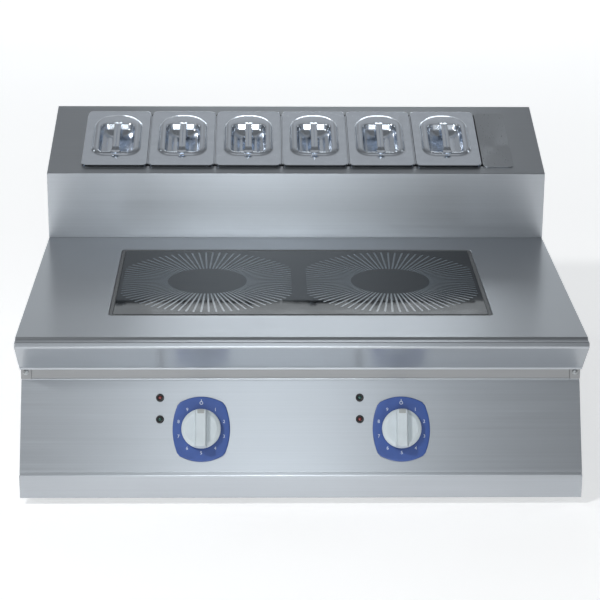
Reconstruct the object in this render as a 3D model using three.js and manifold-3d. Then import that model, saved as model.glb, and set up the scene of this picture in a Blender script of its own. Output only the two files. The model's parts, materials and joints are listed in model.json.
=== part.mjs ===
// Counter-top induction hob, 800 mm wide, with two cooking zones side by side, two rotary controls
// and a raised rail at the back that holds six lidded GN 1/9 ingredient containers and a blank plate.
// Millimetres, +Z up. The front faces -Y. The origin is on the ground under the middle of the hob.
// Heights and depths below are measured from the middle of the worktop, before that last centring.

import * as THREE from 'three';
import { mergeVertices } from 'three/addons/utils/BufferGeometryUtils.js';
import Module from 'manifold-3d';

const wasm = await Module();
wasm.setup();

// ---------- driving dimensions ----------

const WIDTH = 800;
const DEPTH = 730;
const WORKTOP_HEIGHT = 250;
const FRONT = -DEPTH / 2;
const BACK = DEPTH / 2;
const HALF_WIDTH = WIDTH / 2;

const GAP = 0.3;                    // clearance between pieces that touch
const SHEET = 1.5;                  // body sheet
const WORKTOP_SHEET = 2;

// worktop nose: a shallow drop, a rounded tip and an undercut at 45 degrees
const DROP_START = -341;
const DROP_SLOPE = 0.25;
const NOSE_RADIUS = 5;
const UNDERCUT_FOOT = { y: -317, z: 190 };
const WORKTOP_FLANGE = 35;

// slanted control panel, from its top edge to its bottom edge
const PANEL_TOP = { y: -300, z: 168 };
const PANEL_BOTTOM = { y: -364, z: 48 };
const STRIP_BOTTOM = 12;

// raised rail: upright front, sloping top, upright back
const RAIL_FRONT = 120;
const RAIL_BACK = 335;
const RAIL_FRONT_HEIGHT = 358;
const RAIL_BACK_HEIGHT = 418;

// glass and its zones
const GLASS_OPENING = { width: 554, length: 314, y: -101 };
const SEAL_WIDTH = 6;
const GLASS_THICKNESS = 6;
const ZONE_X = 138.5;
const COIL_RADIUS = 120;

// controls, measured along the panel
const KNOB_X = 142.5;
const KNOB_DOWN = 71.5;
const KNOB_RADIUS = 28;
const KNOB_HEIGHT = 28;
const SPINDLE_RADIUS = 4;
const BEZEL_THICKNESS = 5;
const LAMP_SIDE = 59;
const LAMP_RISE = [45, 14.2];
const LAMP_BARREL = 5;
const LAMP_RIM = 5.75;

// containers, measured along the sloping top
const CONTAINERS = 6;
const GN_WIDTH = 108;
const GN_LENGTH = 176;
const GN_DEPTH = 100;
const CONTAINER_SHEET = 1.2;
const ROW_CENTRE = 107;             // from the rail's front edge to the middle of a container
const FIRST_CONTAINER = -293.5;
const LID_WIDTH = 104.5;
const LID_LENGTH = 178;
const BLANK_WIDTH = 50;

// ---------- materials ----------

function metal(color, roughness) {
  return new THREE.MeshStandardMaterial({ color, roughness, metalness: 1 });
}

function plain(color, roughness) {
  return new THREE.MeshStandardMaterial({ color, roughness, metalness: 0 });
}

const brushedSteel = metal(0xb4babf, 0.35);
const polishedSteel = metal(0xc9cdd1, 0.15);
const zincSteel = metal(0x9a9fa3, 0.5);
const aluminium = metal(0xb8bcc0, 0.4);
const copper = metal(0xb5683a, 0.35);
const darkGlass = plain(0x2a3138, 0.05);
const sealGrey = plain(0x4a4e50, 0.6);
const knobGrey = plain(0xc8d4dc, 0.4);
const bezelBlue = plain(0x3a58a6, 0.4);
const blackPlastic = plain(0x1a1b1d, 0.5);
const ferriteBlack = plain(0x2c2c2e, 0.7);
const whiteNylon = plain(0xd8d9d4, 0.6);
const lampRed = plain(0x7a1f22, 0.3);
const lampGreen = plain(0x1f4d44, 0.3);

// ---------- geometry helpers ----------

function toSolid(geometry) {
  const bare = geometry.clone();
  bare.deleteAttribute('normal');
  bare.deleteAttribute('uv');
  const merged = mergeVertices(bare, 1e-4);
  const index = merged.index.array;
  const triangles = [];
  for (let i = 0; i < index.length; i += 3) {
    const [a, b, c] = index.slice(i, i + 3);
    if (a !== b && b !== c && c !== a) {
      triangles.push(a, b, c);
    }
  }
  return new wasm.Manifold(new wasm.Mesh({
    numProp: 3,
    vertProperties: new Float32Array(merged.attributes.position.array),
    triVerts: new Uint32Array(triangles),
  }));
}

function toGeometry(solid) {
  const mesh = solid.getMesh();
  const geometry = new THREE.BufferGeometry();
  geometry.setAttribute('position', new THREE.BufferAttribute(mesh.vertProperties, 3));
  geometry.setIndex(new THREE.BufferAttribute(mesh.triVerts, 1));
  geometry.computeVertexNormals();
  return geometry;
}

function join(...solids) {
  return solids.reduce((whole, solid) => whole.add(solid));
}

function cut(solid, ...tools) {
  return tools.reduce((rest, tool) => rest.subtract(tool), solid);
}

// a box between two values on each axis
function block([x0, x1], [y0, y1], [z0, z1]) {
  const geometry = new THREE.BoxGeometry(x1 - x0, y1 - y0, z1 - z0);
  geometry.translate((x0 + x1) / 2, (y0 + y1) / 2, (z0 + z1) / 2);
  return toSolid(geometry);
}

// a body of revolution about Z, from points [radius, z] that start and end on the axis
function turned(profile, sides = 20) {
  const points = profile.map(([radius, z]) => new THREE.Vector2(radius, z));
  const geometry = new THREE.LatheGeometry(points, sides);
  geometry.rotateX(Math.PI / 2);
  return toSolid(geometry);
}

function rod(radius, z0, z1, sides = 16) {
  return turned([[0, z0], [radius, z0], [radius, z1], [0, z1]], sides);
}

function moved(solid, x, y, z = 0) {
  return solid.translate([x, y, z]);
}

// a flat plate between z0 and z1, from a THREE.Shape in X and Y
function plate(shape, z0, z1, curveSegments = 1.5) {
  const geometry = new THREE.ExtrudeGeometry(shape, { depth: z1 - z0, bevelEnabled: false, curveSegments });
  geometry.translate(0, 0, z0);
  return toSolid(geometry);
}

function roundedRectangle(width, length, radius, x = 0, y = 0) {
  const [w, l] = [width / 2, length / 2];
  const shape = new THREE.Shape();
  shape.moveTo(x - w + radius, y - l);
  shape.lineTo(x + w - radius, y - l);
  shape.absarc(x + w - radius, y - l + radius, radius, -Math.PI / 2, 0);
  shape.lineTo(x + w, y + l - radius);
  shape.absarc(x + w - radius, y + l - radius, radius, 0, Math.PI / 2);
  shape.lineTo(x - w + radius, y + l);
  shape.absarc(x - w + radius, y + l - radius, radius, Math.PI / 2, Math.PI);
  shape.lineTo(x - w, y - l + radius);
  shape.absarc(x - w + radius, y - l + radius, radius, Math.PI, 1.5 * Math.PI);
  return shape;
}

// a prism along X, from an outline of points { y, z }
function prism(outline, x0, x1) {
  const shape = new THREE.Shape(outline.map(({ y, z }) => new THREE.Vector2(y, z)));
  const geometry = new THREE.ExtrudeGeometry(shape, { depth: x1 - x0, bevelEnabled: false });
  const toRow = new THREE.Matrix4().makeBasis(
    new THREE.Vector3(0, 1, 0), new THREE.Vector3(0, 0, 1), new THREE.Vector3(1, 0, 0));
  geometry.applyMatrix4(toRow);
  geometry.translate(x0, 0, 0);
  return toSolid(geometry);
}

// a path of points { y, z, radius } with its corners rounded to their radius
function roundedPath(corners, steps = 3) {
  const path = [];
  corners.forEach((corner, i) => {
    const [before, after] = [corners[i - 1], corners[i + 1]];
    if (!corner.radius || !before || !after) {
      path.push({ y: corner.y, z: corner.z });
      return;
    }
    const at = new THREE.Vector2(corner.y, corner.z);
    const back = new THREE.Vector2(before.y, before.z).sub(at).normalize();
    const on = new THREE.Vector2(after.y, after.z).sub(at).normalize();
    const half = Math.acos(back.dot(on)) / 2;
    const inward = back.clone().add(on).normalize();
    const centre = at.clone().add(inward.multiplyScalar(corner.radius / Math.sin(half)));
    const start = at.clone().add(back.multiplyScalar(corner.radius / Math.tan(half))).sub(centre);
    const turn = Math.PI - 2 * half;
    const side = Math.sign(start.cross(at.clone().sub(centre)));
    for (let step = 0; step <= steps; step += 1) {
      const point = start.clone().rotateAround(new THREE.Vector2(), side * turn * step / steps).add(centre);
      path.push({ y: point.x, z: point.y });
    }
  });
  return path;
}

// the same path, moved to its left by a distance, with mitred corners
function offsetPath(path, distance) {
  const normal = (a, b) => new THREE.Vector2(a.z - b.z, b.y - a.y).normalize();
  return path.map((point, i) => {
    const first = normal(path[Math.max(i - 1, 0)], path[Math.max(i, 1)]);
    const last = path.length - 1;
    const second = normal(path[Math.min(i, last - 1)], path[Math.min(i + 1, last)]);
    const mitre = first.clone().add(second).normalize();
    const reach = distance / mitre.dot(first);
    return { y: point.y + mitre.x * reach, z: point.z + mitre.y * reach };
  });
}

// sheet metal bent along a path in Y and Z: the path is its outer face, the thickness lies to its left
function foldedSheet(path, thickness, x0, x1) {
  return prism([...path, ...offsetPath(path, thickness).reverse()], x0, x1);
}

// a closed ring of points round a rounded rectangle
function ring(width, length, radius, z, y = 0, steps = 3) {
  const [w, l] = [width / 2 - radius, length / 2 - radius];
  const corners = [[w, -l, -0.5], [w, l, 0], [-w, l, 0.5], [-w, -l, 1]];
  return corners.flatMap(([cx, cy, start]) => Array.from({ length: steps + 1 }, (_, i) => {
    const angle = Math.PI * (start + i / steps / 2);
    return new THREE.Vector3(cx + radius * Math.cos(angle), y + cy + radius * Math.sin(angle), z);
  }));
}

// a skin stretched over rings, closed by a flat cap at its first ring and its last
function loft(rings) {
  const count = rings[0].length;
  const points = rings.flat();
  const capCentre = (edge) => edge.reduce((sum, point) => sum.add(point), new THREE.Vector3())
    .divideScalar(count);
  points.push(capCentre(rings[0]), capCentre(rings[rings.length - 1]));
  const [firstCap, lastCap] = [points.length - 2, points.length - 1];
  const index = [];
  for (let i = 0; i < count; i += 1) {
    const next = (i + 1) % count;
    index.push(firstCap, next, i);
    for (let r = 0; r < rings.length - 1; r += 1) {
      const [a, b] = [r * count, (r + 1) * count];
      index.push(a + i, a + next, b + next, a + i, b + next, b + i);
    }
    const top = (rings.length - 1) * count;
    index.push(lastCap, top + i, top + next);
  }
  const geometry = new THREE.BufferGeometry().setFromPoints(points);
  geometry.setIndex(index);
  return toSolid(geometry);
}

// ---------- the assembly ----------

const hob = new THREE.Group();

function addPiece(name, solid, material, parent = hob) {
  const mesh = new THREE.Mesh(toGeometry(solid), material);
  mesh.name = name;
  parent.add(mesh);
  return mesh;
}

// frame of the control panel: origin on its top edge, +Y up the panel, +Z out of it
const panelRun = PANEL_TOP.y - PANEL_BOTTOM.y;
const panelRise = PANEL_TOP.z - PANEL_BOTTOM.z;
const panelFrame = new THREE.Group();
panelFrame.position.set(0, PANEL_TOP.y, PANEL_TOP.z);
panelFrame.rotation.x = Math.atan2(panelRise, panelRun);
hob.add(panelFrame);

// frame of the sloping top: origin on its front edge, +Y up the slope, +Z out of it
const slopeFrame = new THREE.Group();
slopeFrame.position.set(0, RAIL_FRONT, RAIL_FRONT_HEIGHT);
slopeFrame.rotation.x = Math.atan2(RAIL_BACK_HEIGHT - RAIL_FRONT_HEIGHT, RAIL_BACK - RAIL_FRONT);
hob.add(slopeFrame);

const sides = [['left', -1], ['right', 1]];

// ---------- worktop, glass and what carries it ----------

// outer face of the worktop sheet, from the back flange over the top and round the nose
function worktopPath() {
  const undercutSum = UNDERCUT_FOOT.y + UNDERCUT_FOOT.z;
  const tipY = (undercutSum - WORKTOP_HEIGHT + DROP_SLOPE * DROP_START) / (1 + DROP_SLOPE);
  return roundedPath([
    { y: BACK, z: WORKTOP_HEIGHT - WORKTOP_FLANGE },
    { y: BACK, z: WORKTOP_HEIGHT, radius: 4 },
    { y: DROP_START, z: WORKTOP_HEIGHT, radius: 14 },
    { y: tipY, z: undercutSum - tipY, radius: NOSE_RADIUS },
    { y: UNDERCUT_FOOT.y, z: UNDERCUT_FOOT.z, radius: 3 },
    { y: UNDERCUT_FOOT.y + 12, z: UNDERCUT_FOOT.z },
  ]);
}

function makeWorktop() {
  const path = worktopPath();
  const skin = foldedSheet(path, WORKTOP_SHEET, -HALF_WIDTH, HALF_WIDTH);
  const endOutline = [...path, { y: UNDERCUT_FOOT.y + 12, z: WORKTOP_HEIGHT - WORKTOP_FLANGE }];
  const ends = [
    prism(endOutline, -HALF_WIDTH, -HALF_WIDTH + SHEET),
    prism(endOutline, HALF_WIDTH - SHEET, HALF_WIDTH),
  ];
  const opening = roundedRectangle(GLASS_OPENING.width, GLASS_OPENING.length, 7, 0, GLASS_OPENING.y);
  return cut(join(skin, ...ends), plate(opening, WORKTOP_HEIGHT - 20, WORKTOP_HEIGHT + 20));
}

// a rounded rectangular frame round the glass, given by how far its two edges stand out of the opening
function glassFrame(outer, inner, z0, z1) {
  const { width, length, y } = GLASS_OPENING;
  const outside = roundedRectangle(width + 2 * outer, length + 2 * outer, 7 + Math.max(outer, -3), 0, y);
  const inside = roundedRectangle(width + 2 * inner, length + 2 * inner, 7 + Math.max(inner, -4), 0, y);
  return cut(plate(outside, z0, z1), plate(inside, z0 - 1, z1 + 1));
}

function makeGlass() {
  const { width, length, y } = GLASS_OPENING;
  const shape = roundedRectangle(width - 2 * SEAL_WIDTH, length - 2 * SEAL_WIDTH, 3, 0, y);
  return plate(shape, WORKTOP_HEIGHT - GLASS_THICKNESS, WORKTOP_HEIGHT);
}

function makeGlassSupport() {
  const underSheet = WORKTOP_HEIGHT - WORKTOP_SHEET - GAP;
  const underGlass = WORKTOP_HEIGHT - GLASS_THICKNESS - GAP;
  const flange = glassFrame(28, 0.5, underSheet - SHEET, underSheet);
  const web = glassFrame(2, 0.5, underGlass - SHEET, underSheet);
  const ledge = glassFrame(2, -18, underGlass - SHEET, underGlass);
  return join(flange, web, ledge);
}

const TRAY_TOP = 222;
const CARRIER_THICKNESS = 7;
const COIL_THICKNESS = 8;

function makeCoilTray() {
  const { y } = GLASS_OPENING;
  const tray = plate(roundedRectangle(530, 280, 10, 0, y), TRAY_TOP - 3, TRAY_TOP);
  const posts = [-250, 250].flatMap((x) => [-125, 125].map(
    (offset) => moved(rod(6, STRIP_BOTTOM + SHEET + GAP, TRAY_TOP - 1, 12), x, y + offset)));
  return join(tray, ...posts);
}

// a nylon disc with ferrite bars that stand in it like the spokes of a wheel
function makeCoilCarrier() {
  const disc = turned([
    [0, TRAY_TOP + GAP], [COIL_RADIUS + 4, TRAY_TOP + GAP], [COIL_RADIUS + 4, TRAY_TOP + 3],
    [0, TRAY_TOP + 3],
  ], 32);
  const bars = Array.from({ length: 8 }, (_, i) => block(
    [30, COIL_RADIUS - 8], [-8, 8], [TRAY_TOP + 2, TRAY_TOP + CARRIER_THICKNESS]).rotate([0, 0, 45 * i]));
  return join(disc, ...bars);
}

function makeCoil() {
  const bottom = TRAY_TOP + CARRIER_THICKNESS + GAP;
  const winding = rod(COIL_RADIUS, bottom, bottom + COIL_THICKNESS, 32);
  return cut(winding, rod(26, bottom - 1, bottom + COIL_THICKNESS + 1));
}

addPiece('worktop', makeWorktop(), brushedSteel);
addPiece('ceramic_glass', makeGlass(), darkGlass);
const sealBottom = WORKTOP_HEIGHT - GLASS_THICKNESS;
addPiece('glass_seal', glassFrame(-GAP, -SEAL_WIDTH + GAP, sealBottom, WORKTOP_HEIGHT - 0.4), sealGrey);
addPiece('glass_support_frame', makeGlassSupport(), zincSteel);
addPiece('coil_tray', makeCoilTray(), aluminium);

for (const [side, sign] of sides) {
  const carrier = addPiece(`coil_carrier_${side}`, makeCoilCarrier(), ferriteBlack);
  carrier.position.set(sign * ZONE_X, GLASS_OPENING.y, 0);
  const coil = addPiece(`induction_coil_${side}`, makeCoil(), copper);
  coil.position.set(sign * ZONE_X, GLASS_OPENING.y, 0);
}

// ---------- body panels ----------

const PANEL_FLANGE = 16;
const SIDE_PANEL_OUTSIDE = HALF_WIDTH - 0.3;
const SIDE_PANEL_INSIDE = SIDE_PANEL_OUTSIDE - SHEET;
const PANEL_HALF_WIDTH = HALF_WIDTH - 0.5;
const RECESS_FACE = PANEL_TOP.y - 2;
const END_PLATE = 15;
const REAR_PANEL_FACE = RAIL_BACK;
const BASE_TOP = STRIP_BOTTOM + SHEET;
const SCREW = {
  x: SIDE_PANEL_OUTSIDE - END_PLATE / 2, z: (PANEL_TOP.z + SHEET + UNDERCUT_FOOT.z) / 2,
  shank: 2, head: 4.2, length: 8,
};

function panelPath() {
  return roundedPath([
    { y: PANEL_TOP.y + PANEL_FLANGE, z: PANEL_TOP.z },
    { y: PANEL_TOP.y, z: PANEL_TOP.z, radius: 2.5 },
    { y: PANEL_BOTTOM.y, z: PANEL_BOTTOM.z, radius: 2.5 },
    { y: PANEL_BOTTOM.y + PANEL_FLANGE, z: PANEL_BOTTOM.z },
  ]);
}

// holes for the spindles and the pilot lamps, in the panel's own frame
function panelHoles() {
  const holes = sides.flatMap(([, sign]) => [
    moved(rod(7, -20, 20), sign * KNOB_X, -KNOB_DOWN),
    ...LAMP_RISE.map((rise) => moved(
      rod(LAMP_BARREL + GAP, -20, 20), sign * KNOB_X - LAMP_SIDE, rise - KNOB_DOWN)),
  ]);
  const tilt = THREE.MathUtils.radToDeg(panelFrame.rotation.x);
  return holes.map((hole) => hole.rotate([tilt, 0, 0]).translate([0, PANEL_TOP.y, PANEL_TOP.z]));
}

function makeControlPanel() {
  return cut(foldedSheet(panelPath(), SHEET, -PANEL_HALF_WIDTH, PANEL_HALF_WIDTH), ...panelHoles());
}

function makeLowerStrip() {
  const top = PANEL_BOTTOM.z - SHEET;
  const path = roundedPath([
    { y: FRONT + 14, z: top },
    { y: FRONT, z: top, radius: 2 },
    { y: FRONT, z: STRIP_BOTTOM, radius: 2 },
    { y: FRONT + 14, z: STRIP_BOTTOM },
  ]);
  const inner = offsetPath(path, SHEET);
  inner[0].y += 5;
  inner[inner.length - 1].y += 5;
  return cut(prism(path, -HALF_WIDTH, HALF_WIDTH), prism(inner, -HALF_WIDTH + SHEET, HALF_WIDTH - SHEET));
}

function makeCrossRail() {
  const [bottom, top] = [PANEL_TOP.z + SHEET, UNDERCUT_FOOT.z - GAP];
  const path = roundedPath([
    { y: RECESS_FACE + 14, z: top },
    { y: RECESS_FACE, z: top, radius: 2 },
    { y: RECESS_FACE, z: bottom, radius: 2 },
    { y: RECESS_FACE + 14, z: bottom },
  ]);
  const inside = SIDE_PANEL_OUTSIDE - END_PLATE - GAP;
  return foldedSheet(path, SHEET, -inside, inside);
}

// a flat side, cut to the slant of the control panel, with a screwed end plate turned into the recess
function makeSidePanel(sign) {
  const inset = SHEET + 1;
  const behindPanel = (z) => PANEL_BOTTOM.y + (z - PANEL_BOTTOM.z) * panelRun / panelRise
    + inset / Math.sin(panelFrame.rotation.x);
  const flangeEnd = PANEL_TOP.y + PANEL_FLANGE + 1;
  const stripEnd = PANEL_BOTTOM.y + PANEL_FLANGE + 1;
  const top = WORKTOP_HEIGHT - WORKTOP_FLANGE - GAP;
  const slantTop = PANEL_TOP.z + SHEET;
  const outline = [
    { y: stripEnd, z: STRIP_BOTTOM },
    { y: BACK - 2, z: STRIP_BOTTOM },
    { y: BACK - 2, z: top },
    { y: UNDERCUT_FOOT.y + 13, z: top },
    { y: UNDERCUT_FOOT.y + 13, z: UNDERCUT_FOOT.z - GAP },
    { y: RECESS_FACE, z: UNDERCUT_FOOT.z - GAP },
    { y: RECESS_FACE, z: slantTop },
    { y: flangeEnd, z: slantTop },
    { y: flangeEnd, z: PANEL_TOP.z - inset },
    { y: behindPanel(PANEL_TOP.z - inset), z: PANEL_TOP.z - inset },
    { y: behindPanel(PANEL_BOTTOM.z + inset), z: PANEL_BOTTOM.z + inset },
    { y: stripEnd, z: PANEL_BOTTOM.z + inset },
  ];
  const [near, far] = [sign * SIDE_PANEL_INSIDE, sign * SIDE_PANEL_OUTSIDE].sort((a, b) => a - b);
  const sheet = prism(outline, near, far);
  const plateInside = sign * (SIDE_PANEL_OUTSIDE - END_PLATE);
  const [plateNear, plateFar] = [plateInside, sign * SIDE_PANEL_OUTSIDE].sort((a, b) => a - b);
  const endPlate = block([plateNear, plateFar], [RECESS_FACE, RECESS_FACE + SHEET],
    [slantTop, UNDERCUT_FOOT.z - GAP]);
  const hole = rod(SCREW.shank + GAP, -10, 10, 12).rotate([90, 0, 0])
    .translate([sign * SCREW.x, RECESS_FACE, SCREW.z]);
  return cut(join(sheet, endPlate), hole);
}

function makeRecessScrew() {
  const { shank, head, length } = SCREW;
  const screw = turned([
    [0, -length], [shank, -length], [shank, GAP], [head, GAP], [head, 1.4], [head - 1.2, 2.4], [0, 2.4],
  ], 12);
  return screw.rotate([90, 0, 0]);
}

const FAN_X = 165;                  // middle of each fan, its louvres and its air slots
const LOUVRE = { width: 90, height: 6, pitch: 14, count: 6, lowest: 50 };
const AIR_SLOT = { width: 100, length: 8, pitch: 16, count: 7, front: -90 };
const GLAND = { x: 270, z: 70, radius: 10 };
const REAR_HALF_WIDTH = SIDE_PANEL_INSIDE - GAP;

function makeRearPanel() {
  const sheet = block([-REAR_HALF_WIDTH, REAR_HALF_WIDTH], [REAR_PANEL_FACE - SHEET, REAR_PANEL_FACE],
    [BASE_TOP + GAP, WORKTOP_HEIGHT - WORKTOP_SHEET - GAP]);
  const slots = sides.flatMap(([, sign]) => Array.from({ length: LOUVRE.count }, (_, i) => {
    const z = LOUVRE.lowest + LOUVRE.pitch * i;
    return block([sign * FAN_X - LOUVRE.width / 2, sign * FAN_X + LOUVRE.width / 2],
      [REAR_PANEL_FACE - 5, REAR_PANEL_FACE + 5], [z, z + LOUVRE.height]);
  }));
  const glandHole = rod(GLAND.radius + GAP, -10, 10).rotate([90, 0, 0])
    .translate([GLAND.x, REAR_PANEL_FACE, GLAND.z]);
  return cut(sheet, ...slots, glandHole);
}

const FOOT = { x: 330, front: -285, back: 285, radius: 20, stud: 4 };

function makeBasePan() {
  const front = FRONT + 18;
  const back = REAR_PANEL_FACE - SHEET - GAP;
  const half = REAR_HALF_WIDTH;
  const lip = [STRIP_BOTTOM, BASE_TOP + 16];
  const floor = block([-half, half], [front, REAR_PANEL_FACE], [STRIP_BOTTOM, BASE_TOP]);
  const lips = [
    block([-half, -half + SHEET], [front, back], lip),
    block([half - SHEET, half], [front, back], lip),
    block([-half, half], [front, front + SHEET], lip),
  ];
  const studs = footPlaces().map(([x, y]) => moved(rod(FOOT.stud + 0.5, 0, 30), x, y));
  const slots = sides.flatMap(([, sign]) => Array.from({ length: AIR_SLOT.count }, (_, i) => {
    const y = AIR_SLOT.front + AIR_SLOT.pitch * i;
    return block([sign * FAN_X - AIR_SLOT.width / 2, sign * FAN_X + AIR_SLOT.width / 2],
      [y, y + AIR_SLOT.length], [0, 30]);
  }));
  return cut(join(floor, ...lips), ...studs, ...slots);
}

function footPlaces() {
  return [[-FOOT.x, FOOT.front], [FOOT.x, FOOT.front], [-FOOT.x, FOOT.back], [FOOT.x, FOOT.back]];
}

function makeFoot() {
  const top = STRIP_BOTTOM - GAP;
  return turned([
    [0, 0], [FOOT.radius - 1.5, 0], [FOOT.radius, 1.5], [FOOT.radius - 3, top],
    [FOOT.stud, top], [FOOT.stud, top + 14], [0, top + 14],
  ], 16);
}

addPiece('control_panel', makeControlPanel(), brushedSteel);
addPiece('lower_front_strip', makeLowerStrip(), brushedSteel);
addPiece('front_cross_rail', makeCrossRail(), brushedSteel);
addPiece('rear_panel', makeRearPanel(), zincSteel);
addPiece('base_pan', makeBasePan(), zincSteel);
for (const [side, sign] of sides) {
  addPiece(`${side}_side_panel`, makeSidePanel(sign), brushedSteel);
  const screw = addPiece(`recess_screw_${side}`, makeRecessScrew(), zincSteel);
  screw.position.set(sign * SCREW.x, RECESS_FACE, SCREW.z);
}
footPlaces().forEach(([x, y], i) => {
  addPiece(`foot_${i + 1}`, makeFoot(), blackPlastic).position.set(x, y, 0);
});

// ---------- controls ----------

// outline of the blue plate behind a knob: four shallow arcs that meet at blunt corners
function bezelShape() {
  const [side, top] = [41, 46.5];
  const corner = { x: 33, y: 37 };
  const shape = new THREE.Shape();
  const arcTo = (midX, midY, x, y) => {
    const from = shape.currentPoint;
    const controlX = 2 * midX - (from.x + x) / 2;
    const controlY = 2 * midY - (from.y + y) / 2;
    shape.quadraticCurveTo(controlX, controlY, x, y);
  };
  shape.moveTo(corner.x, -corner.y);
  arcTo(side, 0, corner.x, corner.y);
  arcTo(0, top, -corner.x, corner.y);
  arcTo(-side, 0, -corner.x, -corner.y);
  arcTo(0, -top, corner.x, -corner.y);
  return shape;
}

function makeBezel() {
  const geometry = new THREE.ExtrudeGeometry(bezelShape(), {
    depth: BEZEL_THICKNESS - GAP - 1.2, bevelThickness: 1.2, bevelSize: 1.2, bevelOffset: -1.2,
    bevelSegments: 1, curveSegments: 5,
  });
  geometry.translate(0, 0, GAP);
  const plateSolid = toSolid(geometry).intersect(rod(100, GAP, BEZEL_THICKNESS, 12));
  return cut(plateSolid, rod(13, -5, 10, 20));
}

const KNOB_BACK = BEZEL_THICKNESS + 1.5;
const KNOB_DISC_TOP = 17;

function makeKnob() {
  const disc = turned([
    [0, KNOB_BACK], [KNOB_RADIUS - 0.8, KNOB_BACK], [KNOB_RADIUS, KNOB_BACK + 0.8],
    [KNOB_RADIUS, KNOB_DISC_TOP - 4], [KNOB_RADIUS - 1.5, KNOB_DISC_TOP - 1.5],
    [KNOB_RADIUS - 5, KNOB_DISC_TOP], [0, KNOB_DISC_TOP],
  ], 28);
  const halfBar = 8.2;
  const bar = new THREE.Shape([
    new THREE.Vector2(-halfBar, KNOB_DISC_TOP - 4), new THREE.Vector2(halfBar, KNOB_DISC_TOP - 4),
    new THREE.Vector2(halfBar - 1.2, KNOB_HEIGHT - 1), new THREE.Vector2(halfBar - 2.4, KNOB_HEIGHT),
    new THREE.Vector2(-halfBar + 2.4, KNOB_HEIGHT), new THREE.Vector2(-halfBar + 1.2, KNOB_HEIGHT - 1),
  ]);
  const length = 2 * KNOB_RADIUS;
  const barGeometry = new THREE.ExtrudeGeometry(bar, { depth: length, bevelEnabled: false });
  barGeometry.rotateX(Math.PI / 2);
  barGeometry.translate(0, length / 2, 0);
  const outline = turned([
    [0, 0], [KNOB_RADIUS - 0.2, 0], [KNOB_RADIUS - 1.4, KNOB_HEIGHT], [0, KNOB_HEIGHT],
  ], 28);
  const grip = toSolid(barGeometry).intersect(outline);
  const bore = rod(SPINDLE_RADIUS + GAP, KNOB_BACK - 1, KNOB_DISC_TOP - 2, 12);
  return cut(join(disc, grip), bore);
}

function makeSpindle() {
  const [rear, front] = [-24, KNOB_DISC_TOP - 2 - GAP];
  return turned([
    [0, rear], [SPINDLE_RADIUS, rear], [SPINDLE_RADIUS, front - 1], [SPINDLE_RADIUS - 1, front], [0, front],
  ], 12);
}

function makeSpindleSeal() {
  const [radius, top] = [12.4, KNOB_BACK - GAP];
  const body = turned([[0, GAP], [radius, GAP], [radius, BEZEL_THICKNESS - 1], [9, top], [0, top]]);
  return cut(body, rod(SPINDLE_RADIUS + 0.5, -5, 10, 12));
}

function makeRegulator() {
  const front = -SHEET - GAP;
  const body = block([-24, 24], [-24, 24], [front - 34, front - 2]);
  const mount = block([-30, 30], [-14, 14], [front - 2.5, front]);
  const terminals = [-15, -5, 5, 15].map((x) => block([x - 2, x + 2], [-16, 16], [front - 42, front - 33]));
  const bore = rod(SPINDLE_RADIUS + 0.5, front - 24, 5, 12);
  return cut(join(body, mount, ...terminals), bore);
}

function makePilotLamp() {
  return turned([
    [0, -26], [LAMP_BARREL - 1.5, -26], [LAMP_BARREL - 1.5, -14], [LAMP_BARREL, -14], [LAMP_BARREL, GAP],
    [LAMP_RIM, GAP], [LAMP_RIM, 1.6], [LAMP_RIM - 1, 2.4], [0, 3.2],
  ], 12);
}

for (const [side, sign] of sides) {
  const control = new THREE.Group();
  control.position.set(sign * KNOB_X, -KNOB_DOWN, 0);
  panelFrame.add(control);
  addPiece(`knob_bezel_${side}`, makeBezel(), bezelBlue, control);
  addPiece(`knob_${side}`, makeKnob(), knobGrey, control);
  addPiece(`control_spindle_${side}`, makeSpindle(), zincSteel, control);
  addPiece(`spindle_seal_${side}`, makeSpindleSeal(), sealGrey, control);
  addPiece(`power_regulator_${side}`, makeRegulator(), blackPlastic, control);
  const colours = sign < 0 ? ['red', 'green'] : ['green', 'red'];
  colours.forEach((colour, i) => {
    const material = colour === 'red' ? lampRed : lampGreen;
    const lamp = addPiece(`pilot_lamp_${side}_${colour}`, makePilotLamp(), material, control);
    lamp.position.set(-LAMP_SIDE, LAMP_RISE[i], 0);
  });
}

// ---------- raised rail with its containers ----------

const ROW_OPENING_LENGTH = 168.5;
const ROW_LEFT = FIRST_CONTAINER - GN_WIDTH / 2;
const ROW_RIGHT = FIRST_CONTAINER + GN_WIDTH * (CONTAINERS - 0.5);
const BLANK_X = ROW_RIGHT + 1.5 + BLANK_WIDTH / 2;

function makeRailHousing() {
  const bottom = WORKTOP_HEIGHT + GAP;
  const outer = roundedPath([
    { y: RAIL_BACK, z: bottom },
    { y: RAIL_BACK, z: RAIL_BACK_HEIGHT, radius: 2.5 },
    { y: RAIL_FRONT, z: RAIL_FRONT_HEIGHT, radius: 2.5 },
    { y: RAIL_FRONT, z: bottom },
  ], 3);
  const inner = offsetPath(outer, SHEET);
  inner[0].z -= 10;
  inner[inner.length - 1].z -= 10;
  const hollow = prism(inner, -HALF_WIDTH + SHEET, HALF_WIDTH - SHEET);
  const box = cut(prism(outer, -HALF_WIDTH, HALF_WIDTH), hollow);
  const [left, right] = [ROW_LEFT + 4.5, BLANK_X + BLANK_WIDTH / 2 - 4.5];
  const shape = roundedRectangle(right - left, ROW_OPENING_LENGTH, 5, (left + right) / 2, ROW_CENTRE);
  const opening = plate(shape, -12, 12);
  const tilt = THREE.MathUtils.radToDeg(slopeFrame.rotation.x);
  return cut(box, opening.rotate([tilt, 0, 0]).translate([0, RAIL_FRONT, RAIL_FRONT_HEIGHT]));
}

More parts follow.
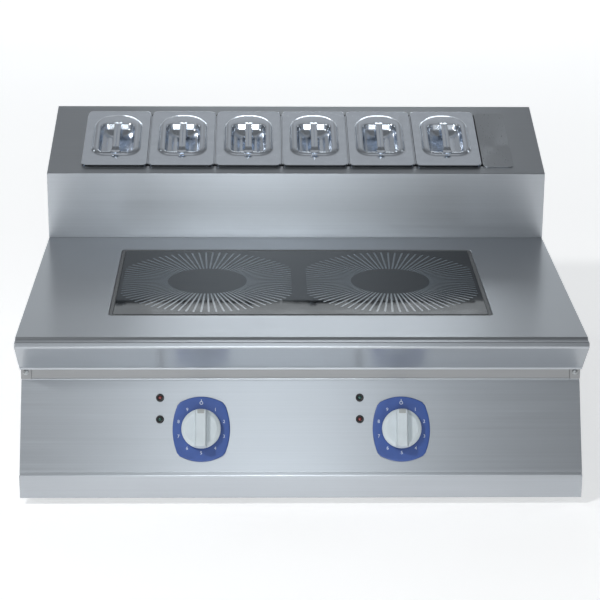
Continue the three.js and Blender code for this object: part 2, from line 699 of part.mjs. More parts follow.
// a pressed GN 1/9 container that hangs by its rim: outside from the bottom up, over the rim, inside down
function makeContainer() {
  const t = CONTAINER_SHEET;
  const [rimWidth, rimLength] = [GN_WIDTH - 0.6, GN_LENGTH];
  const [topWidth, topLength] = [98.5, 166.5];
  const taper = 7;
  return loft([
    ring(topWidth - taper - 10, topLength - taper - 10, 17, -GN_DEPTH + GAP),
    ring(topWidth - taper, topLength - taper, 22, -GN_DEPTH + 8),
    ring(topWidth, topLength, 16, GAP),
    ring(rimWidth, rimLength, 12, GAP),
    ring(rimWidth, rimLength, 12, GAP + t),
    ring(topWidth - 2 * t, topLength - 2 * t, 15, GAP + t),
    ring(topWidth - taper - 2 * t, topLength - taper - 2 * t, 21, -GN_DEPTH + 8),
    ring(topWidth - taper - 2 * t - 8, topLength - taper - 2 * t - 8, 17, -GN_DEPTH + GAP + t),
  ]);
}

const LID_BOTTOM = GAP + CONTAINER_SHEET + GAP;
const LID_SHEET = 1.2;
const LID_FLAT = LID_BOTTOM + 2.7;
const RIDGE_TOP = LID_FLAT + 8;
const WELL_FLOOR = RIDGE_TOP - 16;
const RIDGE = { width: 78, length: 127, radius: 35, y: 2.5 };
const WELL = { width: 58, length: 86, radius: 24, y: -9 };

// a pressed lid: a flat rim with a turned-down edge, a raised ridge and a well in it under a strap handle
function makeLid() {
  const t = LID_SHEET;
  const { width, length, radius, y } = RIDGE;
  const underside = [
    ring(WELL.width - 14, WELL.length - 14, WELL.radius - 6, WELL_FLOOR - t, WELL.y),
    ring(WELL.width - 8 + 2 * t, WELL.length - 8 + 2 * t, WELL.radius - 3, WELL_FLOOR + 2, WELL.y),
    ring(WELL.width + 1 + 2 * t, WELL.length + 1 + 2 * t, WELL.radius, RIDGE_TOP - t, WELL.y),
    ring(width - 10 - t, length - 10 - t, radius - 5, RIDGE_TOP - t, y),
    ring(width - 5 - 2 * t, length - 5 - 2 * t, radius - 3, LID_FLAT + 5 - t, y),
    ring(width - 2 * t, length - 2 * t, radius - 1, LID_FLAT - t, y),
    ring(LID_WIDTH - 2 * t, LID_LENGTH - 2 * t, 5.5, LID_FLAT - t),
    ring(LID_WIDTH - 2 * t, LID_LENGTH - 2 * t, 5.5, LID_BOTTOM),
  ];
  const topside = [
    ring(LID_WIDTH, LID_LENGTH, 7, LID_BOTTOM),
    ring(LID_WIDTH, LID_LENGTH, 7, LID_FLAT),
    ring(width, length, radius, LID_FLAT, y),
    ring(width - 5, length - 5, radius - 2, LID_FLAT + 5, y),
    ring(width - 10, length - 10, radius - 4, RIDGE_TOP, y),
    ring(WELL.width + 1, WELL.length + 1, WELL.radius - 0.5, RIDGE_TOP, WELL.y),
    ring(WELL.width - 8, WELL.length - 8, WELL.radius - 3, WELL_FLOOR + 2, WELL.y),
    ring(WELL.width - 14, WELL.length - 14, WELL.radius - 6, WELL_FLOOR, WELL.y),
  ];
  return join(loft([...underside, ...topside]), makeStrap());
}

// the handle: a strap with a foot welded to the ridge in front of the well and one behind it
function makeStrap() {
  const [frontEnd, backEnd] = [WELL.y - WELL.length / 2 - 4, WELL.y + WELL.length / 2 + 6];
  const foot = RIDGE_TOP - 0.2;
  const path = roundedPath([
    { y: backEnd, z: foot },
    { y: backEnd - 8, z: foot },
    { y: backEnd - 14, z: foot + 2.4 },
    { y: frontEnd + 14, z: foot + 2.4 },
    { y: frontEnd + 8, z: foot },
    { y: frontEnd, z: foot },
  ]);
  const halfStrap = 5.5;
  const strap = foldedSheet(path, -1.6, -halfStrap, halfStrap);
  const padWidth = 17;
  const pads = [
    block([-padWidth / 2, padWidth / 2], [frontEnd, frontEnd + 8], [foot, foot + 1.6]),
    block([-padWidth / 2, padWidth / 2], [backEnd - 8, backEnd], [foot, foot + 1.6]),
  ];
  return join(strap, ...pads);
}

// a flat plate with turned-down edges that closes what the row leaves of the opening
function makeBlankPlate() {
  const t = CONTAINER_SHEET;
  const top = plate(roundedRectangle(BLANK_WIDTH, GN_LENGTH, 8), GAP, GAP + t);
  const skirt = cut(
    plate(roundedRectangle(BLANK_WIDTH - 11, ROW_OPENING_LENGTH - 3, 6), -12, GAP + t / 2),
    plate(roundedRectangle(BLANK_WIDTH - 11 - 2 * t, ROW_OPENING_LENGTH - 3 - 2 * t, 5), -13, GAP + t / 2));
  return join(top, skirt);
}

addPiece('rail_housing', makeRailHousing(), brushedSteel);
for (let i = 0; i < CONTAINERS; i += 1) {
  const x = FIRST_CONTAINER + GN_WIDTH * i;
  addPiece(`container_${i + 1}`, makeContainer(), polishedSteel, slopeFrame).position.set(x, ROW_CENTRE, 0);
  addPiece(`lid_${i + 1}`, makeLid(), polishedSteel, slopeFrame).position.set(x, ROW_CENTRE, 0);
}
addPiece('blank_plate', makeBlankPlate(), brushedSteel, slopeFrame).position.set(BLANK_X, ROW_CENTRE, 0);

// ---------- power electronics and mains connection ----------

const GENERATOR = { x: FAN_X, width: 200, front: 42, back: 200, height: 70 };
const FAN = { size: 120, depth: 38, bore: 56, front: 210, centre: BASE_TOP + GAP + 60 };

function makeGenerator() {
  const floor = BASE_TOP + GAP;
  const { width, front, back, height } = GENERATOR;
  const board = block([-width / 2, width / 2], [front, back], [floor, floor + 25]);
  const finPitch = 12;
  const fins = Array.from({ length: 12 }, (_, i) => {
    const x = (i - 5.5) * finPitch;
    return block([x - 1.5, x + 1.5], [front + 10, back - 5], [floor + 24, floor + height]);
  });
  return join(board, ...fins);
}

// the square frame of a fan, its motor held by four arms, with the axis along Y
function makeFanHousing() {
  const half = FAN.size / 2;
  const square = block([-half, half], [-half, half], [0, FAN.depth]);
  const frame = cut(square, rod(FAN.bore, -1, FAN.depth + 1, 28));
  const arm = block([-FAN.bore - 1, FAN.bore + 1], [-3, 3], [0, 4]);
  const arms = [arm, arm.rotate([0, 0, 90])];
  const motor = rod(18, 0, 8);
  return join(frame, ...arms, motor).rotate([90, 0, 0]).translate([0, FAN.depth, 0]);
}

function makeFanRotor() {
  const hub = rod(22, 10, FAN.depth - 4);
  const blades = Array.from({ length: 7 }, (_, i) => block([18, FAN.bore - 3], [-1, 1], [-10, 10])
    .rotate([50, 0, 0]).translate([0, 0, FAN.depth / 2 + 3]).rotate([0, 0, 360 * i / 7]));
  return join(hub, ...blades).rotate([90, 0, 0]).translate([0, FAN.depth, 0]);
}

function makeTerminalBlock() {
  const floor = BASE_TOP + GAP;
  const base = block([-35, 35], [-14, 14], [floor, floor + 18]);
  const poles = Array.from({ length: 5 }, (_, i) => block([-33 + 14 * i, -23 + 14 * i], [-10, 10],
    [floor + 17, floor + 30]));
  return join(base, ...poles);
}

// a gland with a hexagon outside the rear panel, a thread through it and a lock nut inside
function makeCableGland() {
  const outside = turned([[0, GAP], [15, GAP], [15, 8], [0, 8]], 6);
  const cap = turned([[0, 7], [13, 7], [13, 18], [9, 25], [0, 25]], 16);
  const thread = rod(GLAND.radius, -SHEET - 10, GAP + 1);
  const nut = turned([[0, -SHEET - 6], [14, -SHEET - 6], [14, -SHEET - GAP], [0, -SHEET - GAP]], 6);
  return cut(join(outside, cap, thread, nut), rod(6, -30, 40, 12)).rotate([-90, 0, 0]);
}

function makeMainsFilter() {
  const floor = BASE_TOP + GAP;
  const can = block([-55, 55], [-28, 28], [floor, floor + 42]);
  const ears = block([-65, 65], [-10, 10], [floor, floor + 2]);
  const tabs = [-40, 40].flatMap((x) => [-12, 0, 12].map(
    (y) => block([x - 1, x + 1], [y - 3, y + 3], [floor + 41, floor + 50])));
  return join(can, ears, ...tabs);
}

for (const [side, sign] of sides) {
  addPiece(`generator_${side}`, makeGenerator(), aluminium).position.x = sign * GENERATOR.x;
  addPiece(`fan_housing_${side}`, makeFanHousing(), blackPlastic)
    .position.set(sign * GENERATOR.x, FAN.front, FAN.centre);
  addPiece(`fan_rotor_${side}`, makeFanRotor(), blackPlastic)
    .position.set(sign * GENERATOR.x, FAN.front, FAN.centre);
}
addPiece('terminal_block', makeTerminalBlock(), whiteNylon).position.set(GLAND.x, 290, 0);
addPiece('cable_gland', makeCableGland(), blackPlastic).position.set(GLAND.x, REAR_PANEL_FACE, GLAND.z);
addPiece('mains_filter', makeMainsFilter(), zincSteel).position.set(0, 290, 0);

// the origin lies under the middle of the hob's outline, its knobs included
const outline = new THREE.Box3().setFromObject(hob);
hob.position.y = -(outline.min.y + outline.max.y) / 2;

export default hob;
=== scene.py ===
"""Looks of a counter-top induction hob with an ingredient rail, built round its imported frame.

Row frame: metres, +Z up, the front faces -Y. Each sub-part is drawn in millimetres in a local frame
and placed by a matrix that turns it into row metres.
"""

import json
import math

import bmesh
import bpy
from mathutils import Matrix, Vector


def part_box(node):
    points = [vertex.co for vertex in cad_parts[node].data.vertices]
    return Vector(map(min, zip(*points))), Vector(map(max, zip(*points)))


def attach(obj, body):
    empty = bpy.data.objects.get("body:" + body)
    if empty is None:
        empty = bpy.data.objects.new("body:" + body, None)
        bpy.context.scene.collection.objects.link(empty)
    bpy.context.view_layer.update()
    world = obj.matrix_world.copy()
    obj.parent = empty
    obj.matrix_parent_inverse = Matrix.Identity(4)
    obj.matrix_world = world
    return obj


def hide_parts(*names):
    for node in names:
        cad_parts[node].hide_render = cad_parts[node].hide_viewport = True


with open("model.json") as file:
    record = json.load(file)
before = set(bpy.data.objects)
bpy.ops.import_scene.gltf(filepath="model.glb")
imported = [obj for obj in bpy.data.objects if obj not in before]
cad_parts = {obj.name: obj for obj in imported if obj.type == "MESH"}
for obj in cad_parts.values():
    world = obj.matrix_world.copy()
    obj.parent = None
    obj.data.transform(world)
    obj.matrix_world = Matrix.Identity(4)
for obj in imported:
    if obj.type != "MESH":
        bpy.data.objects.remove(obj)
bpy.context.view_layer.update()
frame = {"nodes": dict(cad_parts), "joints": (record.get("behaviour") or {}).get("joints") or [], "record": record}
scene = bpy.context.scene

MM = 0.001
STEEL_SHEET = 1.5
SIDES = (("left", -1), ("right", 1))


# ---------- local frames, in row metres per millimetre ----------

def local_frame(origin, x_axis, y_axis):
    """A matrix from millimetres in a local frame to metres in the row frame."""
    x = Vector(x_axis).normalized()
    y = Vector(y_axis).normalized()
    z = x.cross(y)
    turn = Matrix((x, y, z)).transposed().to_4x4()
    return Matrix.Translation(Vector(origin)) @ turn @ Matrix.Scale(MM, 4)


def shifted(place, x, y):
    return place @ Matrix.Translation(Vector((x, y, 0.0)))


joints = {joint["name"]: joint for joint in frame["joints"]}
worktop_low, worktop_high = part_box("worktop")
MIDDLE_Y = (worktop_low[1] + worktop_high[1]) / 2
TOP = local_frame((0, MIDDLE_Y, 0), (1, 0, 0), (0, 1, 0))

RAIL_FRONT = 120.0
RAIL_FRONT_HEIGHT = 358.0
RAIL_BACK = 335.0
RAIL_BACK_HEIGHT = 418.0
slope_out = Vector(joints["container_1_lift"]["axis"]).normalized()
slope_up = slope_out.cross(Vector((1, 0, 0)))
SLOPE = local_frame((0, MIDDLE_Y + RAIL_FRONT * MM, RAIL_FRONT_HEIGHT * MM), (1, 0, 0), slope_up)


def control_frame(side):
    """Frame of a knob: origin on the panel at the spindle, +Y up the panel, +Z out of it."""
    joint = joints[f"knob_{side}_turn"]
    out = -Vector(joint["axis"])
    return local_frame(joint["pos_m"], (1, 0, 0), out.cross(Vector((1, 0, 0))))


# ---------- camera ----------

CAMERA_ANGLES = {"pitch": 18.172, "yaw": 1.152, "roll": -0.378}
CAMERA_PLACE = (-0.0624, MIDDLE_Y - 2.9096, 1.1895)
CAMERA_LENS = 117.3
CAMERA_SHIFT = (0.00835, -0.05)


def make_camera():
    """The camera, turned by its downward pitch, its yaw to the right and its roll, in degrees."""
    pitch, yaw, roll = (math.radians(CAMERA_ANGLES[name]) for name in ("pitch", "yaw", "roll"))
    ahead = Vector((math.sin(yaw) * math.cos(pitch), math.cos(yaw) * math.cos(pitch), -math.sin(pitch)))
    level = Vector((math.cos(yaw), -math.sin(yaw), 0))
    up = level.cross(ahead)
    right = math.cos(roll) * level - math.sin(roll) * up
    up = right.cross(ahead)
    data = bpy.data.cameras.new("camera")
    data.lens = CAMERA_LENS
    data.sensor_width = 36
    data.shift_x, data.shift_y = CAMERA_SHIFT
    data.clip_end = 50
    camera = bpy.data.objects.new("camera", data)
    turn = Matrix((right, up, -ahead)).transposed().to_4x4()
    camera.matrix_world = Matrix.Translation(CAMERA_PLACE) @ turn
    scene.collection.objects.link(camera)
    scene.camera = camera


# ---------- materials ----------

def new_material(name):
    material = bpy.data.materials.new(name)
    material.use_nodes = True
    nodes = material.node_tree.nodes
    shader = nodes["Principled BSDF"]
    return material, nodes, material.node_tree.links, shader


def add_node(nodes, kind, values=()):
    """A new shader node with values on its inputs."""
    node = nodes.new(f"ShaderNode{kind}")
    for name, value in dict(values).items():
        node.inputs[name].default_value = value
    return node


def noise(nodes, links, stretch, scale, detail=3.0):
    """A noise texture in object space, stretched by a scale on each axis."""
    coordinates = add_node(nodes, "TexCoord")
    mapping = add_node(nodes, "Mapping", {"Scale": stretch})
    texture = add_node(nodes, "TexNoise", {"Scale": scale, "Detail": detail})
    links.new(coordinates.outputs["Object"], mapping.inputs["Vector"])
    links.new(mapping.outputs["Vector"], texture.inputs["Vector"])
    return texture.outputs["Fac"]


def spread(nodes, links, value, low, high):
    """Maps a texture's middle range to a range of values."""
    mapped = add_node(nodes, "MapRange", {"From Min": 0.3, "From Max": 0.7, "To Min": low, "To Max": high})
    links.new(value, mapped.inputs["Value"])
    return mapped.outputs["Result"]


def tint(nodes, links, value, dark, light, socket):
    """Colours a texture between two colours into a shader's socket."""
    ramp = add_node(nodes, "ValToRGB")
    ramp.color_ramp.elements[0].position = 0.3
    ramp.color_ramp.elements[0].color = (*dark, 1)
    ramp.color_ramp.elements[1].position = 0.7
    ramp.color_ramp.elements[1].color = (*light, 1)
    links.new(value, ramp.inputs["Fac"])
    links.new(ramp.outputs["Color"], socket)


def bump(nodes, links, value, shader, strength, distance):
    node = add_node(nodes, "Bump", {"Strength": strength, "Distance": distance})
    links.new(value, node.inputs["Height"])
    links.new(node.outputs["Normal"], shader.inputs["Normal"])


def shade(colour, factor):
    return tuple(channel * factor for channel in colour)


def brushed_steel(name, colour, roughness, anisotropy=0.6, grain="X"):
    """Steel with a grain along one axis, slow clouds in its tone and a stretched highlight."""
    material, nodes, links, shader = new_material(name)
    along, across = 3.0, 420.0
    stretch = tuple(along if axis == grain else across for axis in "XYZ")
    fine = noise(nodes, links, stretch, 1.0, 4.0)
    clouds = noise(nodes, links, (1, 1, 1), 5.0, 2.0)
    mixed = add_node(nodes, "Math")
    mixed.operation = "MULTIPLY_ADD"
    mixed.inputs[1].default_value = 0.35
    links.new(clouds, mixed.inputs[0])
    scaled = add_node(nodes, "Math")
    scaled.operation = "MULTIPLY"
    scaled.inputs[1].default_value = 0.65
    links.new(fine, scaled.inputs[0])
    links.new(scaled.outputs["Value"], mixed.inputs[2])
    tint(nodes, links, mixed.outputs["Value"], shade(colour, 0.95), shade(colour, 1.04),
         shader.inputs["Base Color"])
    links.new(spread(nodes, links, fine, roughness - 0.03, roughness + 0.03), shader.inputs["Roughness"])
    bump(nodes, links, fine, shader, 0.15, 0.00001)
    shader.inputs["Metallic"].default_value = 1.0
    shader.inputs["Anisotropic"].default_value = anisotropy
    tangent = add_node(nodes, "Tangent")
    tangent.direction_type = "RADIAL"
    tangent.axis = grain
    links.new(tangent.outputs["Tangent"], shader.inputs["Tangent"])
    return material


def pressed_steel(name, colour, roughness):
    """Bright pressed steel with a faint cloudy haze."""
    material, nodes, links, shader = new_material(name)
    haze = noise(nodes, links, (1, 1, 1), 60.0, 5.0)
    fine = noise(nodes, links, (60, 700, 700), 1.0, 2.0)
    tint(nodes, links, haze, shade(colour, 0.93), colour, shader.inputs["Base Color"])
    links.new(spread(nodes, links, haze, roughness * 0.7, roughness * 1.3), shader.inputs["Roughness"])
    bump(nodes, links, fine, shader, 0.1, 0.000005)
    shader.inputs["Metallic"].default_value = 1.0
    return material


def zinc_steel(name, colour, roughness):
    """Zinc-coated sheet with its spangle."""
    material, nodes, links, shader = new_material(name)
    coordinates = add_node(nodes, "TexCoord")
    spangle = add_node(nodes, "TexVoronoi", {"Scale": 160.0})
    links.new(coordinates.outputs["Object"], spangle.inputs["Vector"])
    tint(nodes, links, spangle.outputs["Color"], shade(colour, 0.8), shade(colour, 1.1),
         shader.inputs["Base Color"])
    haze = noise(nodes, links, (1, 1, 1), 30.0, 4.0)
    links.new(spread(nodes, links, haze, roughness - 0.08, roughness + 0.1), shader.inputs["Roughness"])
    shader.inputs["Metallic"].default_value = 1.0
    return material


def moulded(name, colour, roughness, texture_depth=0.00002, texture_scale=900.0, contrast=0.06):
    """A moulded plastic or rubber: a fine grain in its skin and a slight mottle in its tone."""
    material, nodes, links, shader = new_material(name)
    grain = noise(nodes, links, (1, 1, 1), texture_scale, 3.0)
    mottle = noise(nodes, links, (1, 1, 1), 70.0, 4.0)
    tint(nodes, links, mottle, shade(colour, 1 - contrast), shade(colour, 1 + contrast),
         shader.inputs["Base Color"])
    links.new(spread(nodes, links, grain, roughness - 0.05, roughness + 0.07), shader.inputs["Roughness"])
    bump(nodes, links, grain, shader, 0.2, texture_depth)
    return material


def seal_material():
    """Grey silicone mottled with dust and dried splashes."""
    material, nodes, links, shader = new_material("seal_rubber")
    mottle = noise(nodes, links, (1, 1, 1), 420.0, 4.0)
    tint(nodes, links, mottle, (0.07, 0.075, 0.08), (0.2, 0.21, 0.22), shader.inputs["Base Color"])
    links.new(spread(nodes, links, mottle, 0.45, 0.7), shader.inputs["Roughness"])
    bump(nodes, links, mottle, shader, 0.4, 0.0002)
    return material


def glass_material():
    """Dark glass-ceramic: near-black body, faint speckle under a polished face."""
    material, nodes, links, shader = new_material("ceramic_glass")
    speckle = noise(nodes, links, (1, 1, 1), 1500.0, 2.0)
    tint(nodes, links, speckle, (0.003, 0.0045, 0.0065), (0.006, 0.008, 0.011), shader.inputs["Base Color"])
    smear = noise(nodes, links, (2, 6, 6), 6.0, 3.0)
    links.new(spread(nodes, links, smear, 0.03, 0.075), shader.inputs["Roughness"])
    shader.inputs["IOR"].default_value = 1.3
    shader.inputs["Specular Tint"].default_value = (0.78, 0.92, 1.0, 1)
    return material


def print_material():
    """Pale blue-grey enamel printed on the glass."""
    material, nodes, links, shader = new_material("zone_print")
    speckle = noise(nodes, links, (1, 1, 1), 900.0, 2.0)
    tint(nodes, links, speckle, (0.085, 0.108, 0.13), (0.13, 0.16, 0.19), shader.inputs["Base Color"])
    links.new(spread(nodes, links, speckle, 0.08, 0.16), shader.inputs["Roughness"])
    return material


def lens_material(name, colour):
    """Coloured lens: clear coat over a fine hammered texture."""
    material, nodes, links, shader = new_material(name)
    coordinates = add_node(nodes, "TexCoord")
    cells = add_node(nodes, "TexVoronoi", {"Scale": 1400.0})
    links.new(coordinates.outputs["Object"], cells.inputs["Vector"])
    tint(nodes, links, cells.outputs["Distance"], shade(colour, 1.3), shade(colour, 0.6),
         shader.inputs["Base Color"])
    bump(nodes, links, cells.outputs["Distance"], shader, 0.5, 0.0001)
    shader.inputs["Roughness"].default_value = 0.25
    shader.inputs["Coat Weight"].default_value = 0.6
    shader.inputs["Coat Roughness"].default_value = 0.08
    return material


def winding_material():
    """Enamelled copper strands."""
    material, nodes, links, shader = new_material("copper_winding")
    strands = noise(nodes, links, (200, 200, 900), 1.0, 3.0)
    tint(nodes, links, strands, (0.32, 0.13, 0.06), (0.62, 0.3, 0.15), shader.inputs["Base Color"])
    links.new(spread(nodes, links, strands, 0.25, 0.45), shader.inputs["Roughness"])
    shader.inputs["Metallic"].default_value = 1.0
    return material


def floor_material():
    """Pale studio floor with a barely visible mottle."""
    material, nodes, links, shader = new_material("studio_floor")
    mottle = noise(nodes, links, (1, 1, 1), 1.5, 3.0)
    tint(nodes, links, mottle, (0.9, 0.9, 0.9), (0.93, 0.93, 0.93), shader.inputs["Base Color"])
    shader.inputs["Roughness"].default_value = 0.9
    shader.inputs["Specular IOR Level"].default_value = 0.1
    shader.inputs["Emission Color"].default_value = (1, 1, 1, 1)
    coordinates = add_node(nodes, "TexCoord")
    split = add_node(nodes, "SeparateXYZ")
    glow = add_node(nodes, "MapRange", {"From Min": 0.4, "From Max": 2.5, "To Min": 0.46, "To Max": 0.5})
    links.new(coordinates.outputs["Object"], split.inputs["Vector"])
    links.new(split.outputs["Y"], glow.inputs["Value"])
    links.new(glow.outputs["Result"], shader.inputs["Emission Strength"])
    return material


STEEL_TONE = (0.475, 0.50, 0.53)
MATERIALS = {
    "brushed_steel": brushed_steel("brushed_steel", STEEL_TONE, 0.33, anisotropy=0.7),
    "polished_steel": pressed_steel("polished_steel", (0.80, 0.85, 0.92), 0.16),
    "galvanised_steel": zinc_steel("galvanised_steel", (0.5, 0.52, 0.53), 0.45),
    "aluminium": brushed_steel("aluminium", (0.62, 0.63, 0.65), 0.38, anisotropy=0.2, grain="Y"),
    "copper_winding": winding_material(),
    "ceramic_glass": glass_material(),
    "seal_rubber": seal_material(),
    "bezel_blue": moulded("bezel_blue", (0.045, 0.098, 0.33), 0.36, contrast=0.08),
    "knob_grey": moulded("knob_grey", (0.62, 0.68, 0.71), 0.42, contrast=0.03),
    "lamp_red": lens_material("lamp_red", (0.24, 0.05, 0.045)),
    "lamp_green": lens_material("lamp_green", (0.03, 0.09, 0.075)),
    "white_nylon": moulded("white_nylon", (0.75, 0.75, 0.72), 0.5),
    "foot_rubber": moulded("foot_rubber", (0.03, 0.03, 0.03), 0.7, 0.00005, 500.0),
    "coil_carrier": moulded("coil_carrier", (0.06, 0.06, 0.065), 0.6),
    "black_plastic": moulded("black_plastic", (0.02, 0.02, 0.022), 0.4, 0.00004, 700.0, 0.15),
}
ENAMEL = print_material()
# painted shade: a darker steel for the faces that look out of the recess under the nose
RECESS_SHADE_STEEL = brushed_steel("recess_shade_steel", (0.32, 0.325, 0.33), 0.42, anisotropy=0.5)
# painted shade: near-black steel for the turned-down edges of lids and containers
EDGE_SHADE_STEEL = brushed_steel("edge_shade_steel", (0.085, 0.09, 0.095), 0.5, anisotropy=0.2)
PLATE_STEEL = brushed_steel("plate_steel", shade(STEEL_TONE, 0.9), 0.3, anisotropy=0.7, grain="Y")
MARK_WHITE = moulded("mark_white", (0.62, 0.68, 0.78), 0.4)


# ---------- geometry helpers: everything is drawn in millimetres ----------

def rounded_path(corners, steps=8):
    """Points of a path in two dimensions whose corners (a, b, radius) are rounded to their radius."""
    points = []
    for i, corner in enumerate(corners):
        at = Vector(corner[:2])
        radius = corner[2] if len(corner) > 2 else 0
        if not radius or i in (0, len(corners) - 1):
            points.append(at)
            continue
        back = (Vector(corners[i - 1][:2]) - at).normalized()
        ahead = (Vector(corners[i + 1][:2]) - at).normalized()
        half = math.acos(max(-1.0, min(1.0, back.dot(ahead)))) / 2
        centre = at + (back + ahead).normalized() * radius / math.sin(half)
        start = at + back * radius / math.tan(half) - centre
        turn = math.pi - 2 * half
        side = 1 if start.x * (at - centre).y - start.y * (at - centre).x > 0 else -1
        for step in range(steps + 1):
            angle = side * turn * step / steps
            arm = Vector((start.x * math.cos(angle) - start.y * math.sin(angle),
                          start.x * math.sin(angle) + start.y * math.cos(angle)))
            points.append(centre + arm)
    return points


def offset_path(path, distance):
    """The same path moved to its left by a distance, with mitred corners."""
    def normal(a, b):
        return Vector((a.y - b.y, b.x - a.x)).normalized()

    moved = []
    last = len(path) - 1
    for i, point in enumerate(path):
        first = normal(path[max(i - 1, 0)], path[max(i, 1)])
        second = normal(path[min(i, last - 1)], path[min(i + 1, last)])
        mitre = (first + second).normalized()
        moved.append(point + mitre * (distance / max(mitre.dot(first), 0.2)))
    return moved


def ring(width, length, z, front_radius, back_radius=None, x=0.0, y=0.0, steps=10):
    """Points round a rectangle with rounded corners, counter-clockwise from its front right corner."""
    back_radius = front_radius if back_radius is None else back_radius
    corners = ((1, -1, front_radius, -0.5), (1, 1, back_radius, 0.0),
               (-1, 1, back_radius, 0.5), (-1, -1, front_radius, 1.0))
    points = []
    for side, end, radius, start in corners:
        centre_x = x + side * (width / 2 - radius)
        centre_y = y + end * (length / 2 - radius)
        for step in range(steps + 1):
            angle = math.pi * (start + step / steps / 2)
            points.append((centre_x + radius * math.cos(angle), centre_y + radius * math.sin(angle), z))
    return points


def loft(rings, closed=False, caps=True, into=None):
    """Faces between rings of equally many points, with flat caps or closed back to the first ring."""
    shape = into or bmesh.new()
    rows = [[shape.verts.new(point) for point in points] for points in rings]
    pairs = list(zip(rows, rows[1:]))
    if closed:
        pairs.append((rows[-1], rows[0]))
    for first, second in pairs:
        for i in range(len(first)):
            j = (i + 1) % len(first)
            shape.faces.new((first[i], first[j], second[j], second[i]))
    if caps and not closed:
        shape.faces.new(list(reversed(rows[0])))
        shape.faces.new(rows[-1])
    return shape


def turned(profile, sides=64):
    """A body of revolution about Z, from points (radius, z) that start and end on the axis."""
    shape = bmesh.new()
    rows = []
    for radius, z in profile:
        if radius < 1e-6:
            rows.append([shape.verts.new((0, 0, z))])
            continue
        rows.append([shape.verts.new((radius * math.cos(math.tau * i / sides),
                                      radius * math.sin(math.tau * i / sides), z)) for i in range(sides)])
    for first, second in zip(rows, rows[1:]):
        for i in range(sides):
            j = (i + 1) % sides
            if len(first) == 1:
                shape.faces.new((first[0], second[j], second[i]))
            elif len(second) == 1:
                shape.faces.new((first[i], first[j], second[0]))
            else:
                shape.faces.new((first[i], first[j], second[j], second[i]))
    return shape


def washer(profile, sides=64):
    """A body of revolution about Z with a hole, from a closed profile of points (radius, z)."""
    rings = []
    for radius, z in profile:
        rings.append([(radius * math.cos(math.tau * i / sides), radius * math.sin(math.tau * i / sides), z)
                      for i in range(sides)])
    return loft(rings, closed=True)


def prism(outline, x0, x1, edge):
    """A prism along X from an outline of points (y, z), with its two end edges rounded."""
    loop = list(outline)
    area = sum(a.x * b.y - b.x * a.y for a, b in zip(loop, loop[1:] + loop[:1]))
    if area < 0:
        loop.reverse()
    steps = 3
    stations = []
    for i in range(steps + 1):
        angle = math.pi / 2 * i / steps
        stations.append((x0 + edge * (1 - math.cos(angle)), edge * (1 - math.sin(angle))))
    stations += [(x1 - (x - x0), inset) for x, inset in reversed(stations)]
    closed = [loop[-1]] + loop + [loop[0]]
    rings = []
    for x, inset in stations:
        points = offset_path(closed, inset)[1:-1] if inset else loop
        rings.append([(x, point.x, point.y) for point in points])
    return loft(rings)


def box_ring(x0, x1, y0, y1, z, radius):
    return ring(x1 - x0, y1 - y0, z, radius, x=(x0 + x1) / 2, y=(y0 + y1) / 2, steps=4)


def soft_block(x0, x1, y0, y1, z0, z1, radius=1.0, edge=0.4, into=None):
    """A block with rounded upright corners and softened edges above and below."""
    rings = [
        box_ring(x0 + edge, x1 - edge, y0 + edge, y1 - edge, z0, max(radius - edge, 0.05)),
        box_ring(x0, x1, y0, y1, z0 + edge, radius),
        box_ring(x0, x1, y0, y1, z1 - edge, radius),
        box_ring(x0 + edge, x1 - edge, y0 + edge, y1 - edge, z1, max(radius - edge, 0.05)),
    ]
    return loft(rings, into=into)


def add_modifier(obj, kind, **settings):
    modifier = obj.modifiers.new(kind.lower(), kind)
    for key, value in settings.items():
        setattr(modifier, key, value)
    return modifier


def apply_modifiers(obj):
    """Bakes the modifiers into the mesh."""
    bpy.context.view_layer.update()
    evaluated = obj.evaluated_get(bpy.context.evaluated_depsgraph_get())
    mesh = bpy.data.meshes.new_from_object(evaluated)
    obj.modifiers.clear()
    obj.data = mesh


def piece(name, shape, place, body, slot, replaces=(), material=None, smooth=35.0, weighted=True):
    """Makes an object of a shape in local millimetres, gives it its material and its body."""
    bmesh.ops.recalc_face_normals(shape, faces=shape.faces)
    shape.transform(place)
    mesh = bpy.data.meshes.new(name)
    shape.to_mesh(mesh)
    shape.free()
    obj = bpy.data.objects.new(name, mesh)
    scene.collection.objects.link(obj)
    smooth_shading(obj, smooth)
    if weighted:
        add_modifier(obj, "WEIGHTED_NORMAL", keep_sharp=True)
    obj.data.materials.append(material or MATERIALS[slot])
    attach(obj, body)
    if replaces:
        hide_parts(*replaces)
    return obj


def smooth_shading(obj, angle):
    obj.data.shade_smooth()
    obj.data.set_sharp_from_angle(angle=math.radians(angle))


def cut_with(obj, *cutters):
    """Cuts shapes, given in row metres as bmesh, out of an object."""
    for cutter in cutters:
        bmesh.ops.recalc_face_normals(cutter, faces=cutter.faces)
        mesh = bpy.data.meshes.new("cutter")
        cutter.to_mesh(mesh)
        cutter.free()
        tool = bpy.data.objects.new("cutter", mesh)
        scene.collection.objects.link(tool)
        modifier = add_modifier(obj, "BOOLEAN", operation="DIFFERENCE", object=tool)
        modifier.solver = "EXACT"
        apply_modifiers(obj)
        bpy.data.objects.remove(tool)


def slot_of(node):
    for subpart in frame["record"]["subparts"]:
        if subpart["node"] == node:
            return subpart["material_slot"]
    raise KeyError(node)


def body_of(node):
    for body, members in frame["record"]["behaviour"]["bodies"].items():
        if node in members:
            return body
    raise KeyError(node)


